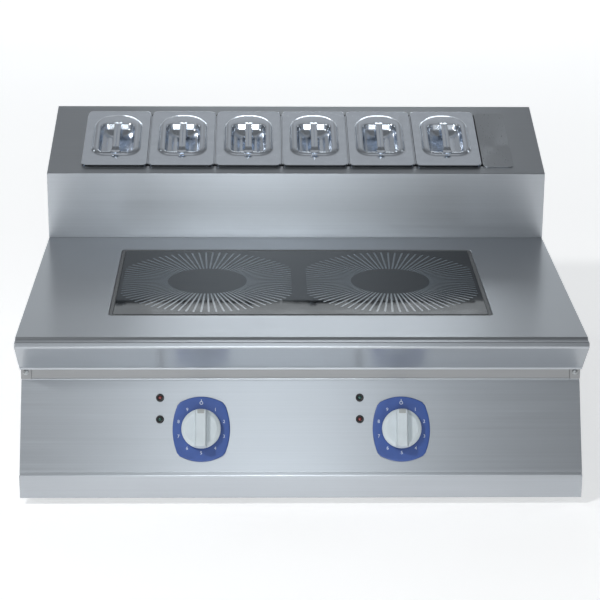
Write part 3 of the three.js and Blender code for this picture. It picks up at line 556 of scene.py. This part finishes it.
def refined(node, edge):
    """A copy of a CAD node with merged flats and softened edges, which stands for it."""
    shape = bmesh.new()
    shape.from_mesh(frame["nodes"][node].data)
    bmesh.ops.remove_doubles(shape, verts=shape.verts, dist=2e-6)
    bmesh.ops.dissolve_limit(shape, angle_limit=math.radians(1.0), verts=shape.verts, edges=shape.edges)
    corner = 32.0
    obj = piece(f"{node}_refined", shape, Matrix.Identity(4), body_of(node), slot_of(node), (node,),
                smooth=corner, weighted=False)
    add_modifier(obj, "BEVEL", width=edge * MM, segments=2, limit_method="ANGLE",
                 angle_limit=math.radians(corner), harden_normals=False)
    add_modifier(obj, "WEIGHTED_NORMAL", keep_sharp=True)
    return obj


# ---------- worktop ----------

HALF_WIDTH = 400.0
BACK = 365.0
WORKTOP_HEIGHT = 250.0
WORKTOP_SHEET = 2.0
WORKTOP_FLANGE = 35.0
# the front edge in (y, z): a step down, a short flat, a bent edge, the nose and the undercut to its foot
NOSE_STEP = {"start": -348.0, "width": 3.0, "drop": 2.4}
NOSE_EDGE = (-362.0, 247.3)
NOSE_FRONT = -366.0
NOSE_RADIUS = 4.0
UNDERCUT_FOOT = (-317.0, 191.5)
UNDERCUT_RETURN = UNDERCUT_FOOT[0] + 12
FOOT_LIP = {"front": -318.5, "back": -312.0, "low": 190.0, "high": 193.2}
GLASS = {"width": 554.0, "length": 314.0, "y": -101.0, "radius": 7.0, "seal": 6.0, "thickness": 6.0}


def worktop_path():
    """Outer face of the sheet in (y, z): up the back flange, over the top and round the nose."""
    foot_sum = UNDERCUT_FOOT[0] + UNDERCUT_FOOT[1]
    return rounded_path([
        (BACK, WORKTOP_HEIGHT - WORKTOP_FLANGE),
        (BACK, WORKTOP_HEIGHT, 4),
        (NOSE_STEP["start"], WORKTOP_HEIGHT, 2.5),
        (NOSE_STEP["start"] - NOSE_STEP["width"], WORKTOP_HEIGHT - NOSE_STEP["drop"], 2.5),
        (*NOSE_EDGE, 2.0),
        (NOSE_FRONT, foot_sum - NOSE_FRONT, NOSE_RADIUS),
        (*UNDERCUT_FOOT, 3),
        (UNDERCUT_RETURN, UNDERCUT_FOOT[1]),
    ], 12)


def folded_shell(path, floor_corner, half_width, edge=1.2):
    """A sheet without thickness, bent along a path of (y, z); its flat ends meet it in a rounded edge."""
    shape = bmesh.new()
    steps = 4
    stations = []
    for i in range(steps + 1):
        angle = math.pi / 2 * i / steps
        stations.append((-half_width + edge * (1 - math.sin(angle)), edge * (1 - math.cos(angle))))
    stations = list(reversed(stations))
    stations += [(-x, inset) for x, inset in reversed(stations)]
    rows = []
    for x, inset in stations:
        points = offset_path(path, inset) if inset else path
        rows.append([shape.verts.new((x, point.x, point.y)) for point in points])
    for first, second in zip(rows, rows[1:]):
        for i in range(len(path) - 1):
            shape.faces.new((first[i], first[i + 1], second[i + 1], second[i]))
    for row, x in ((rows[0], stations[0][0]), (rows[-1], stations[-1][0])):
        corner = [shape.verts.new((x, y, z)) for y, z in floor_corner]
        shape.faces.new(row + corner)
    return shape


def make_worktop():
    """The folded sheet with the opening for the glass, whose upper edge is chamfered."""
    floor_corner = [(UNDERCUT_RETURN, WORKTOP_HEIGHT - WORKTOP_FLANGE)]
    shape = folded_shell(worktop_path(), floor_corner, HALF_WIDTH)
    obj = piece("worktop_skin", shape, TOP, "hob_body", "brushed_steel", ("worktop",), weighted=False)
    add_modifier(obj, "SOLIDIFY", thickness=WORKTOP_SHEET * MM, offset=-1, use_even_offset=True)
    apply_modifiers(obj)
    width, length, radius, y = (GLASS[name] for name in ("width", "length", "radius", "y"))
    chamfer = 0.5
    rings = [ring(width, length, z, radius, y=y) for z in (WORKTOP_HEIGHT - 20, WORKTOP_HEIGHT - chamfer)]
    rings.append(ring(width + 4 * chamfer, length + 4 * chamfer, WORKTOP_HEIGHT + chamfer,
                      radius + 2 * chamfer, y=y))
    cutter = loft(rings)
    cutter.transform(TOP)
    cut_with(obj, cutter)
    smooth_shading(obj, 35)
    add_modifier(obj, "WEIGHTED_NORMAL", keep_sharp=True)


# ---------- glass with its printed zones ----------

ZONE_X = 138.5
ZONE_DISC = 58.3
RAYS = {"count": 80, "width": 3.0, "reach": 142.0, "side": 127.0, "gap": 1.2, "height": 0.12}


def make_glass():
    """The glass plate, lower than the sheet by the print's height, and the seal bead round it."""
    width = GLASS["width"] - 2 * GLASS["seal"]
    length = GLASS["length"] - 2 * GLASS["seal"]
    arris = 0.5
    y = GLASS["y"]
    top = WORKTOP_HEIGHT - RAYS["height"]
    rings = [
        ring(width - 2 * arris, length - 2 * arris, top - GLASS["thickness"] + arris, 2.5, y=y),
        ring(width, length, top - GLASS["thickness"] + 2 * arris, 3, y=y),
        ring(width, length, top - arris, 3, y=y),
        ring(width - 2 * arris, length - 2 * arris, top, 2.5, y=y),
    ]
    piece("ceramic_glass_plate", loft(rings), TOP, "hob_body", "ceramic_glass", ("ceramic_glass",))
    seal_top = WORKTOP_HEIGHT - 0.4
    seal_low = WORKTOP_HEIGHT - GLASS["thickness"]
    inner = (width + 0.4, length + 0.4)
    outer = (GLASS["width"] - 0.6, GLASS["length"] - 0.6)
    rings = [
        ring(*inner, seal_low, 3.2, y=y), ring(*inner, seal_top - 0.5, 3.2, y=y),
        ring(inner[0] + 1.2, inner[1] + 1.2, seal_top, 3.6, y=y),
        ring(outer[0] - 1.6, outer[1] - 1.6, seal_top, 6, y=y),
        ring(*outer, seal_top - 0.7, 6.5, y=y), ring(*outer, seal_low, 6.5, y=y),
    ]
    piece("glass_seal_bead", loft(rings, closed=True), TOP, "hob_body", "seal_rubber", ("glass_seal",))


def ray_end(angle):
    """How far a ray reaches: a circle cut off straight at its left and right."""
    across = abs(math.cos(angle))
    return min(RAYS["reach"], RAYS["side"] / max(across, 1e-6))


def make_zone_print(side, sign):
    """Thin enamel bars that stand round the plain disc of a zone like rays."""
    shape = bmesh.new()
    half = RAYS["width"] / 2
    low = WORKTOP_HEIGHT - RAYS["height"] + 0.01
    for i in range(RAYS["count"]):
        angle = math.tau * (i + 0.5) / RAYS["count"]
        start = ZONE_DISC + RAYS["gap"]
        end = ray_end(angle)
        inner_half = min(half, start * math.tan(math.pi / RAYS["count"]) * 0.55)
        corners = ((start, -inner_half), (end, -half), (end, half), (start, inner_half))
        turn = Matrix.Rotation(angle, 3, "Z")
        rings = [[turn @ Vector((r, t, z)) for r, t in corners] for z in (low, WORKTOP_HEIGHT)]
        loft(rings, into=shape)
    piece(f"zone_print_{side}", shape, shifted(TOP, sign * ZONE_X, GLASS["y"]), "hob_body", "ceramic_glass",
          material=ENAMEL, weighted=False)


# ---------- rail, containers, lids and blank plate ----------

CONTAINERS = 6
GN_WIDTH = 108.0
GN_LENGTH = 176.0
ROW_CENTRE = 107.0
FIRST_CONTAINER = -293.5
GAP = 0.3
PRESSED_SHEET = 1.2
CONTAINER_DEPTH = 100.0
BLANK_WIDTH = 50.0
RIM_REST = 4.5
OPENING_LENGTH = 168.5
ROW_RIGHT = FIRST_CONTAINER + GN_WIDTH * (CONTAINERS - 0.5)
BLANK_X = ROW_RIGHT + 1.5 + BLANK_WIDTH / 2


def make_rail():
    """The folded housing with one long opening for the containers and the blank plate."""
    bottom = WORKTOP_HEIGHT + GAP
    path = rounded_path([
        (RAIL_BACK, bottom),
        (RAIL_BACK, RAIL_BACK_HEIGHT, 2.0),
        (RAIL_FRONT, RAIL_FRONT_HEIGHT, 2.0),
        (RAIL_FRONT, bottom),
    ], 6)
    shape = folded_shell(path, [], HALF_WIDTH, edge=0.9)
    obj = piece("rail_skin", shape, TOP, "hob_body", "brushed_steel", ("rail_housing",), weighted=False)
    add_modifier(obj, "SOLIDIFY", thickness=STEEL_SHEET * MM, offset=-1, use_even_offset=True)
    apply_modifiers(obj)
    left = FIRST_CONTAINER - GN_WIDTH / 2 + RIM_REST
    right = BLANK_X + BLANK_WIDTH / 2 - RIM_REST
    middle = (left + right) / 2
    rings = [ring(right - left, OPENING_LENGTH, z, 5, x=middle, y=ROW_CENTRE) for z in (-12, 12)]
    cutter = loft(rings)
    cutter.transform(SLOPE)
    cut_with(obj, cutter)
    smooth_shading(obj, 35)
    add_modifier(obj, "WEIGHTED_NORMAL", keep_sharp=True)


def dull_edge(obj, x, below):
    """Paints shade on the turned-down edge all round a pressing: its faces get a near-black steel, a painted shade
    for the dark line along the edge.
    """
    obj.data.materials.append(EDGE_SHADE_STEEL)
    to_local = shifted(SLOPE, x, ROW_CENTRE).inverted()
    for polygon in obj.data.polygons:
        at = to_local @ polygon.center
        if GAP - 0.2 < at.z < below and (abs(at.x) > LID_WIDTH / 2 - 2 or abs(at.y) > GN_LENGTH / 2 - 2):
            polygon.material_index = 1


def make_container(number, x):
    """A pressed container: taper, stacking shoulder, flat rim with a turned edge."""
    t = PRESSED_SHEET
    half_rim = (GN_WIDTH - 0.6) / 2
    at_floor, under_shoulder, shoulder, mouth = 41.0, 46.3, 48.9, 49.25
    floor = -CONTAINER_DEPTH + GAP
    outer = rounded_path([
        (0, floor), (at_floor, floor, 11), (under_shoulder, -20, 1.5), (shoulder, -17, 1.5),
        (mouth, GAP, 1.2), (half_rim, GAP),
    ], 5)
    inner = rounded_path([
        (half_rim, GAP + t), (mouth - t, GAP + t, 2.2), (shoulder - t, -17, 1.5),
        (under_shoulder - t, -20, 1.5), (at_floor - t, floor + t, 10), (0, floor + t),
    ], 5)
    long = (GN_LENGTH - GN_WIDTH + 0.6) / 2
    rings = []
    for half, z in [*outer[1:], *inner[:-1]]:
        share = max(0.0, min(1.0, (half - 20) / 25))
        radius = 4 + 16 * share if half < 47 else 15 - 3 * (half - 47) / (half_rim - 47)
        rings.append(ring(2 * half, 2 * (half + long), z, radius, steps=8))
    body = f"container_{number}"
    pan = piece(f"{body}_pan", loft(rings), shifted(SLOPE, x, ROW_CENTRE), body, "polished_steel", (body,))
    # painted shade on the turned-down edge of the rim
    dull_edge(pan, x, GAP + PRESSED_SHEET - 0.1)


LID_WIDTH = 104.5
LID_LENGTH = 178.0
LID_BOTTOM = GAP + PRESSED_SHEET + GAP
LID_FLAT = LID_BOTTOM + 2.7
RIDGE_TOP = LID_FLAT + 8.0
WELL_FLOOR = RIDGE_TOP - 16.0
FRONT_RIDGE = 0.4
WELL = {"y": -9.0, "length": 87.0}
# plan of the lid by the distance inward from its side: length, middle, front and back corner radius
LID_PLAN = (
    (0.0, LID_LENGTH, 0.0, 7.0, 7.0),
    (13.0, 124.0, 4.0, 22.0, 35.0),
    (18.2, 114.0, 4.0, 18.0, 31.0),
    (22.8, WELL["length"], WELL["y"], 9.0, 13.0),
    (27.2, 78.0, WELL["y"], 7.0, 9.5),
    (30.2, 72.0, WELL["y"], 5.0, 7.0),
    (51.5, 29.5, WELL["y"], 0.3, 0.3),
)


def lid_ring(distance, z):
    for near, far in zip(LID_PLAN, LID_PLAN[1:]):
        if distance <= far[0]:
            break
    share = max(0.0, min(1.0, (distance - near[0]) / (far[0] - near[0])))
    length, y, front, back = (a + (b - a) * share for a, b in zip(near[1:], far[1:]))
    points = ring(LID_WIDTH - 2 * distance, length, z, front, back, y=y, steps=14)
    return [(px, py, lowered(py, z)) for px, py, z in points]


def lowered(y, z):
    """The ridge is lower in front than at the back."""
    if z <= LID_FLAT:
        return z
    share = max(0.0, min(1.0, (y + 58.0) / 70.0))
    return LID_FLAT + (z - LID_FLAT) * (FRONT_RIDGE + (1 - FRONT_RIDGE) * share)


def make_lid(number, x):
    """A pressed lid: turned-down edge, flat rim, crowned ridge and a dished well."""
    top = rounded_path([
        (1.4, LID_BOTTOM), (0, LID_FLAT, 0.4), (12.4, LID_FLAT, 2.2), (15.6, RIDGE_TOP - 1.6, 2.6),
        (20.3, RIDGE_TOP, 5.5), (24.0, RIDGE_TOP - 1.2, 2.4), (27.4, WELL_FLOOR + 6.0, 4.0),
        (38.0, WELL_FLOOR + 1.8, 20.0), (51.4, WELL_FLOOR),
    ], 7)
    under = offset_path(top, -PRESSED_SHEET)
    under[0].y = LID_BOTTOM
    under[-1].x = top[-1].x
    rings = [lid_ring(distance, z) for distance, z in [*reversed(under), *top]]
    place = shifted(SLOPE, x, ROW_CENTRE)
    body = f"lid_{number}"
    pressing = piece(f"{body}_pressing", loft(rings), place, body, "polished_steel", (body,))
    # painted shade on the turned-down edge of the lid
    dull_edge(pressing, x, LID_FLAT - 0.2)
    piece(f"{body}_strap", strap_shape(), place, body, "polished_steel")


STRAP = {"half": 5.5, "thickness": 1.6, "rise": 2.4, "pad": 17.0}


def strap_shape():
    """The handle: a creased strap that widens to a rounded foot on the ridge at each end."""
    front = WELL["y"] - 43.0 - 5.0
    back = WELL["y"] + 43.0 + 7.0
    foot = RIDGE_TOP - 0.1
    front_foot = lowered(front + 2, RIDGE_TOP) - 0.1
    path = rounded_path([
        (front, front_foot), (front + 8, front_foot + 0.4, 6), (front + 14, front_foot + 2.8, 8),
        (back - 15, foot + STRAP["rise"], 8), (back - 8, foot, 6), (back, foot),
    ], 5)
    extra = []
    for a, b in zip(path, path[1:]):
        count = max(1, round((b - a).length / 3.0))
        extra += [a.lerp(b, i / count) for i in range(count)]
    path = extra + [path[-1]]
    widest = STRAP["pad"] / 2
    shape_rows = []
    for i, point in enumerate(path):
        before, after = path[max(i - 1, 0)], path[min(i + 1, len(path) - 1)]
        along = (after - before).normalized()
        up = Vector((-along.y, along.x))
        to_end = min(point.x - front, back - point.x)
        widen = max(0.0, 1 - to_end / 13.0)
        half = STRAP["half"] + (widest - STRAP["half"]) * widen ** 0.8
        if to_end < 4.0:
            half *= math.sqrt(max(0.06, 1 - ((4.0 - to_end) / 4.2) ** 2))
        crease = 0.75 * (1 - widen)
        middle = 1 - crease / STRAP["thickness"]
        section = ((-1, 0), (-1, 0.7), (-0.88, 1), (-0.5, 1.06), (-0.12, 1), (0, middle), (0.12, 1),
                   (0.5, 1.06), (0.88, 1), (1, 0.7), (1, 0), (0, 0))
        row = []
        for across, rise in section:
            lift = up * rise * STRAP["thickness"]
            row.append((half * across, point.x + lift.x, point.y + lift.y))
        shape_rows.append(row)
    return loft(shape_rows)


def make_blank_plate():
    """A flat plate with rounded corners and a skirt that drops into the opening."""
    top = GAP + PRESSED_SHEET
    rings = [
        ring(38.8, 165.3, -12, 6), ring(38.8, 165.3, GAP, 6), ring(BLANK_WIDTH, GN_LENGTH, GAP, 8),
        ring(BLANK_WIDTH, GN_LENGTH, top - 0.2, 8), ring(BLANK_WIDTH - 0.4, GN_LENGTH - 0.4, top, 7.8),
    ]
    inside = [ring(36.6, 163.1, GAP, 5), ring(36.6, 163.1, -12, 5)]
    shape = loft([*inside, *rings], caps=True)
    piece("blank_plate_pressing", shape, shifted(SLOPE, BLANK_X, ROW_CENTRE), "blank_plate",
          "brushed_steel", ("blank_plate",), material=PLATE_STEEL)


# ---------- controls ----------

BEZEL_THICKNESS = 5.0
BEZEL_CORNER = (33.0, 37.0)
BEZEL_REACH = (41.0, 46.5)
KNOB_RADIUS = 28.0
KNOB_HEIGHT = 28.0
KNOB_BACK = BEZEL_THICKNESS + 1.5
KNOB_DISC = 17.0
LAMP_SIDE = 59.0
LAMP_RISE = (45.0, 14.2)
LAMP_RIM = 5.75
DIAL_RADIUS = 34.0
DIAL_STEPS = 9


def bezel_ring(inset, z):
    """Outline of the plate behind a knob: four shallow arcs that meet at blunt corners."""
    steps = 12
    corner_x, corner_y = BEZEL_CORNER
    side, top = BEZEL_REACH
    arcs = (((corner_x, -corner_y), (2 * side - corner_x, 0), (corner_x, corner_y)),
            ((corner_x, corner_y), (0, 2 * top - corner_y), (-corner_x, corner_y)),
            ((-corner_x, corner_y), (corner_x - 2 * side, 0), (-corner_x, -corner_y)),
            ((-corner_x, -corner_y), (0, corner_y - 2 * top), (corner_x, -corner_y)))
    points = []
    for start, control, end in arcs:
        for step in range(steps):
            t = (step + 0.5) / steps
            x, y = ((1 - t) ** 2 * a + 2 * t * (1 - t) * b + t ** 2 * c
                    for a, b, c in zip(start, control, end))
            reach = math.hypot(x, y)
            points.append((x * (1 - inset / reach), y * (1 - inset / reach), z))
    return points


def make_bezel(side, place):
    count = len(bezel_ring(0, 0))

    def circle(radius, z):
        outline = bezel_ring(0, z)
        return [(x * radius / math.hypot(x, y), y * radius / math.hypot(x, y), z) for x, y, z in outline]

    top = BEZEL_THICKNESS
    rings = [circle(13.2, GAP), bezel_ring(0.6, GAP), bezel_ring(0, GAP + 0.8), bezel_ring(0.1, top - 1.9)]
    for i in range(1, 5):
        angle = math.pi / 2 * i / 4
        rings.append(bezel_ring(0.1 + 1.6 * (1 - math.cos(angle)), top - 1.9 + 1.5 * math.sin(angle)))
    rings += [bezel_ring(4.5, top - 0.12), circle(30.5, top), circle(29.6, top - 0.5),
              circle(13.2, top - 0.5)]
    assert all(len(points) == count for points in rings)
    piece(f"knob_bezel_{side}_moulding", loft(rings, closed=True), place, "hob_body", "bezel_blue",
          (f"knob_bezel_{side}",), smooth=40)


def knob_profile():
    return rounded_path([
        (0, KNOB_BACK), (KNOB_RADIUS, KNOB_BACK, 0.8), (KNOB_RADIUS, KNOB_DISC - 3.2, 2.2),
        (KNOB_RADIUS - 5.5, KNOB_DISC, 3.0), (14, KNOB_DISC), (0, KNOB_DISC),
    ], 6)


def make_knob(side, place):
    """The disc and its grip bar; the bar narrows upward and rounds off at both ends."""
    body = f"knob_{side}"
    piece(f"knob_{side}_disc", turned(knob_profile(), 96), place, body, "knob_grey", (f"knob_{side}",))
    steps = 24
    rings = []
    levels = ((KNOB_DISC - 6.0, 9.4, 0.4), (KNOB_DISC - 0.4, 8.9, 0.5), (KNOB_DISC + 1.0, 8.3, 0.7),
              (KNOB_HEIGHT - 2.0, 7.2, 1.3), (KNOB_HEIGHT - 0.6, 6.7, 1.8), (KNOB_HEIGHT, 5.9, 2.9))
    for z, half, inset in levels:
        reach = KNOB_RADIUS - inset
        end = math.asin(half / reach)
        outline = []
        for start in (math.pi / 2 - end, 3 * math.pi / 2 - end):
            for step in range(steps + 1):
                angle = start + 2 * end * step / steps
                outline.append((reach * math.cos(angle), reach * math.sin(angle), z))
        rings.append(outline)
    piece(f"knob_{side}_grip", loft(rings), place, body, "knob_grey", smooth=40)
    marker = soft_block(-5.3, 5.3, KNOB_RADIUS - 8.2, KNOB_RADIUS - 2.0,
                        KNOB_HEIGHT - 4.0, KNOB_HEIGHT + 0.05, radius=1.4)
    piece(f"knob_{side}_pointer", marker, place, body, "knob_grey", material=POINTER_GREY)


POINTER_GREY = moulded("pointer_grey", (0.36, 0.38, 0.38), 0.5)


def digit_mesh(text, size):
    """A figure as a thin solid, centred on its own middle, in millimetres."""
    curve = bpy.data.curves.new("figure", "FONT")
    curve.body = text
    curve.size = size
    curve.extrude = 0.06
    curve.offset = 0.03
    curve.align_x = "CENTER"
    curve.align_y = "CENTER"
    holder = bpy.data.objects.new("figure", curve)
    scene.collection.objects.link(holder)
    bpy.context.view_layer.update()
    mesh = bpy.data.meshes.new_from_object(holder.evaluated_get(bpy.context.evaluated_depsgraph_get()))
    bpy.data.objects.remove(holder)
    return mesh


def make_dial(side, place):
    """The off mark at the top and nine figures round the knob, raised a little from the plate."""
    shape = bmesh.new()
    level = BEZEL_THICKNESS - 0.02
    for step in range(1, DIAL_STEPS + 1):
        angle = math.pi / 2 - math.tau * step / (DIAL_STEPS + 1)
        mesh = digit_mesh(str(step), 6.6)
        place_on_dial = Vector((DIAL_RADIUS * math.cos(angle), DIAL_RADIUS * math.sin(angle), level))
        mesh.transform(Matrix.Translation(place_on_dial))
        shape.from_mesh(mesh)
        bpy.data.meshes.remove(mesh)
    off = washer([(1.6, -0.06), (1.6, 0.06), (2.5, 0.06), (2.5, -0.06)], 32)
    off.transform(Matrix.Translation((0, 37.2, level)))
    soft_block(-0.45, 0.45, 39.4, 42.4, level - 0.06, level + 0.06, 0.3, 0.02, into=shape)
    off_mesh = bpy.data.meshes.new("off")
    off.to_mesh(off_mesh)
    off.free()
    shape.from_mesh(off_mesh)
    piece(f"dial_marks_{side}", shape, place, "hob_body", "bezel_blue", material=MARK_WHITE, weighted=False)


def make_lamp(side, colour, place):
    """A black rim with a stepped edge round a domed lens."""
    node = f"pilot_lamp_{side}_{colour}"
    rim = washer(rounded_path([
        (2.7, -26), (5.0, -26), (5.0, 0.3), (LAMP_RIM, 0.3, 0.2), (LAMP_RIM, 2.0, 0.7), (4.3, 3.1, 0.4),
        (3.1, 2.6, 0.3), (2.7, 1.2),
    ], 4), 40)
    piece(f"{node}_rim", rim, place, "hob_body", "black_plastic", (node,))
    lens = turned([(0, -0.5), (2.6, -0.5), (2.6, 1.4), (2.4, 1.9), (1.9, 2.4), (1.1, 2.75), (0, 2.9)], 40)
    piece(f"{node}_lens", lens, place, "hob_body", f"lamp_{colour}")


def make_controls():
    for side, sign in SIDES:
        place = control_frame(side)
        make_bezel(side, place)
        make_knob(side, place)
        make_dial(side, place)
        colours = ("red", "green") if sign < 0 else ("green", "red")
        for colour, rise in zip(colours, LAMP_RISE):
            make_lamp(side, colour, shifted(place, -LAMP_SIDE, rise))


# ---------- body panels and what is out of view ----------

def make_recess_screw(side):
    """A pan head with a cross recess."""
    low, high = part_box(f"recess_screw_{side}")
    centre = ((low[0] + high[0]) / 2, high[1], (low[2] + high[2]) / 2)
    depth = (high[1] - low[1]) / MM
    place = local_frame(centre, (1, 0, 0), (0, 0, 1))
    head = turned(rounded_path([
        (0, 0), (2, 0), (2, depth - 2.4), (4.2, depth - 2.4), (4.2, depth - 1.2, 1.0), (1.5, depth, 2.0),
        (0, depth - 0.05),
    ], 5), 40)
    obj = piece(f"recess_screw_{side}_head", head, place, "hob_body", "galvanised_steel",
                (f"recess_screw_{side}",), weighted=False)
    cutters = []
    for half_x, half_y in ((2.6, 0.5), (0.5, 2.6)):
        cross = soft_block(-half_x, half_x, -half_y, half_y, depth - 1.1, depth + 2, 0.2, 0.1)
        cross.transform(place)
        cutters.append(cross)
    cut_with(obj, *cutters)
    smooth_shading(obj, 35)


def make_coil(side):
    """A flat spiral winding of round strand."""
    low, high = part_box(f"induction_coil_{side}")
    centre_x = (low[0] + high[0]) / 2
    centre_y = (low[1] + high[1]) / 2
    place = local_frame((centre_x, centre_y, (low[2] + high[2]) / 2), (1, 0, 0), (0, 1, 0))
    turns, inner, outer, strand = 15, 29.5, 117.0, 2.8
    per_turn, around = 48, 8
    rings = []
    for i in range(turns * per_turn + 1):
        angle = math.tau * i / per_turn
        radius = inner + (outer - inner) * i / (turns * per_turn)
        row = []
        for j in range(around):
            swing = math.tau * j / around
            reach = radius + strand * math.cos(swing)
            row.append((reach * math.cos(angle), reach * math.sin(angle), strand * math.sin(swing)))
        rings.append(row)
    piece(f"induction_coil_{side}_winding", loft(rings), place, "hob_body", "copper_winding",
          (f"induction_coil_{side}",), weighted=False, smooth=80)


PANEL_TOP = (-300.0, 168.0)
STRIP_TOP = (-365.0, 46.5)
# where each fold starts, and its two rounded corners from there: (y, z, radius)
FOLDS = {
    "panel_top_fold": (PANEL_TOP, (0.0, 0.2, 0.8), (0.1, 2.4, 2.0)),
    "strip_top_fold": (STRIP_TOP, (0.0, 0.8, 4.0), (2.5, 4.6, 0.3)),
}
FOLD_DEPTH = 8.0
FOLD_END = 0.8
# height above which front faces in the recess under the nose get painted shade
RECESS_LOW = 0.169


def make_folds():
    """The lip at the undercut's foot, and the rounded folds above and below the control panel."""
    lip_front, lip_back = FOOT_LIP["front"], FOOT_LIP["back"]
    lip_low, lip_high = FOOT_LIP["low"], FOOT_LIP["high"]
    outlines = {
        "undercut_lip": [(lip_back, lip_low), (lip_front, lip_low, 0.5), (lip_front, lip_high, 0.4),
                         (lip_back, lip_high)],
    }
    for name, ((front, height), shoulder, top) in FOLDS.items():
        corners = [(front + FOLD_DEPTH, height - 1.6), (front, height - 1.6, 0.5)]
        corners += [(front + y, height + z, radius) for y, z, radius in (shoulder, top)]
        corners.append((front + FOLD_DEPTH, height + top[1] + 0.2))
        outlines[name] = corners
    for name, corners in outlines.items():
        bar = prism(rounded_path(corners, 6), -HALF_WIDTH + FOLD_END, HALF_WIDTH - FOLD_END, edge=0.3)
        piece(name, bar, TOP, "hob_body", "brushed_steel")


def dull_recess(obj):
    """Paints shade on the faces that look out of the recess under the nose: they get a darker steel, a painted
    shade for the recess's shadow.
    """
    obj.data.materials.append(RECESS_SHADE_STEEL)
    for polygon in obj.data.polygons:
        if polygon.normal.y < -0.7 and polygon.center.z > RECESS_LOW:
            polygon.material_index = 1


# CAD nodes that keep their shape, by how much their edges are softened
REFINED = {
    0.25: ("rear_panel",),
    0.3: ("control_panel", "lower_front_strip", "front_cross_rail", "base_pan", "left_side_panel",
          "right_side_panel", "glass_support_frame", "control_spindle_left", "control_spindle_right"),
    0.4: ("coil_tray", "mains_filter", "fan_rotor_left", "fan_rotor_right", "spindle_seal_left",
          "spindle_seal_right"),
    0.5: ("generator_left", "generator_right"),
    0.6: ("coil_carrier_left", "coil_carrier_right", "terminal_block", "cable_gland", "power_regulator_left",
          "power_regulator_right", "foot_1", "foot_2", "foot_3", "foot_4"),
    0.8: ("fan_housing_left", "fan_housing_right"),
}
# CAD nodes whose faces in the recess under the nose get painted shade
PAINTED_SHADE_IN_RECESS = ("front_cross_rail", "left_side_panel", "right_side_panel")


# ---------- studio ----------

def make_floor():
    half = 9.0
    corners = [(-half, -half, 0), (half, -half, 0), (half, half, 0), (-half, half, 0)]
    mesh = bpy.data.meshes.new("floor")
    mesh.from_pydata(corners, [], [(0, 1, 2, 3)])
    floor = bpy.data.objects.new("floor", mesh)
    floor.data.materials.append(floor_material())
    scene.collection.objects.link(floor)


def area_light(name, place, target, size, radiance, colour=(0.91, 0.965, 1.0)):
    """A soft rectangular light of a given size and radiance, turned to a target."""
    data = bpy.data.lights.new(name, "AREA")
    data.color = colour
    data.shape = "RECTANGLE"
    data.size, data.size_y = size
    data.energy = radiance * math.pi * size[0] * size[1]
    light = bpy.data.objects.new(name, data)
    light.location = place
    light.rotation_euler = (Vector(target) - Vector(place)).to_track_quat("-Z", "Y").to_euler()
    scene.collection.objects.link(light)


WORLD_MIDDLE = 0.42
WORLD_SIDES = 0.08
WORLD_CEILING = 0.4


def make_world():
    """A grey room, darker towards its left, its right and its ceiling."""
    world = bpy.data.worlds.new("studio")
    world.use_nodes = True
    nodes, links = world.node_tree.nodes, world.node_tree.links
    coordinates = add_node(nodes, "TexCoord")
    split = add_node(nodes, "SeparateXYZ")
    sideways = add_node(nodes, "Math")
    sideways.operation = "ABSOLUTE"
    fade = add_node(nodes, "MapRange", {"From Max": 0.9, "To Min": WORLD_MIDDLE, "To Max": WORLD_SIDES})
    links.new(coordinates.outputs["Generated"], split.inputs["Vector"])
    links.new(split.outputs["X"], sideways.inputs[0])
    links.new(sideways.outputs["Value"], fade.inputs["Value"])
    ceiling = add_node(nodes, "MapRange", {"From Min": 0.78, "From Max": 0.95, "To Min": 1.0,
                                           "To Max": WORLD_CEILING})
    links.new(split.outputs["Z"], ceiling.inputs["Value"])
    strength = add_node(nodes, "Math")
    strength.operation = "MULTIPLY"
    links.new(fade.outputs["Result"], strength.inputs[0])
    links.new(ceiling.outputs["Result"], strength.inputs[1])
    links.new(strength.outputs["Value"], nodes["Background"].inputs["Strength"])
    nodes["Background"].inputs["Color"].default_value = (0.94, 0.97, 1.0, 1)
    scene.world = world


def make_studio():
    """Tall and low soft lights in front, a wide one behind, one at each side and a small key light."""
    make_world()
    scene.view_settings.view_transform = "Standard"
    hob = (0, 0, 0.2)
    area_light("front", (-0.05, -3.3, 2.35), (-0.05, 0, 1.0), (0.7, 2.5), 1.35)
    area_light("front_low", (-0.05, -3.4, 0.38), (-0.05, 0, 0.3), (0.55, 0.64), 9.6)
    area_light("back_wash", (0, 4.3, 1.05), hob, (7.0, 1.7), 0.9)
    area_light("back_centre", (0.16, 4.3, 2.2), hob, (1.3, 0.6), 3.7)
    area_light("left", (-3.6, 0.9, 1.8), hob, (1.2, 1.2), 2.6)
    area_light("right", (3.6, 0.9, 1.8), hob, (1.2, 1.2), 2.6)
    area_light("key", (-1.85, -2.05, 2.7), hob, (0.3, 0.3), 170.0, (1.0, 1.0, 1.0))


make_camera()
make_floor()
make_studio()
make_worktop()
make_glass()
make_rail()
for i in range(CONTAINERS):
    make_container(i + 1, FIRST_CONTAINER + GN_WIDTH * i)
    make_lid(i + 1, FIRST_CONTAINER + GN_WIDTH * i)
make_blank_plate()
make_controls()
for side, sign in SIDES:
    make_zone_print(side, sign)
    make_recess_screw(side)
    make_coil(side)
make_folds()
for softening, nodes_alike in REFINED.items():
    for node in nodes_alike:
        obj = refined(node, softening)
        if node in PAINTED_SHADE_IN_RECESS:
            dull_recess(obj)
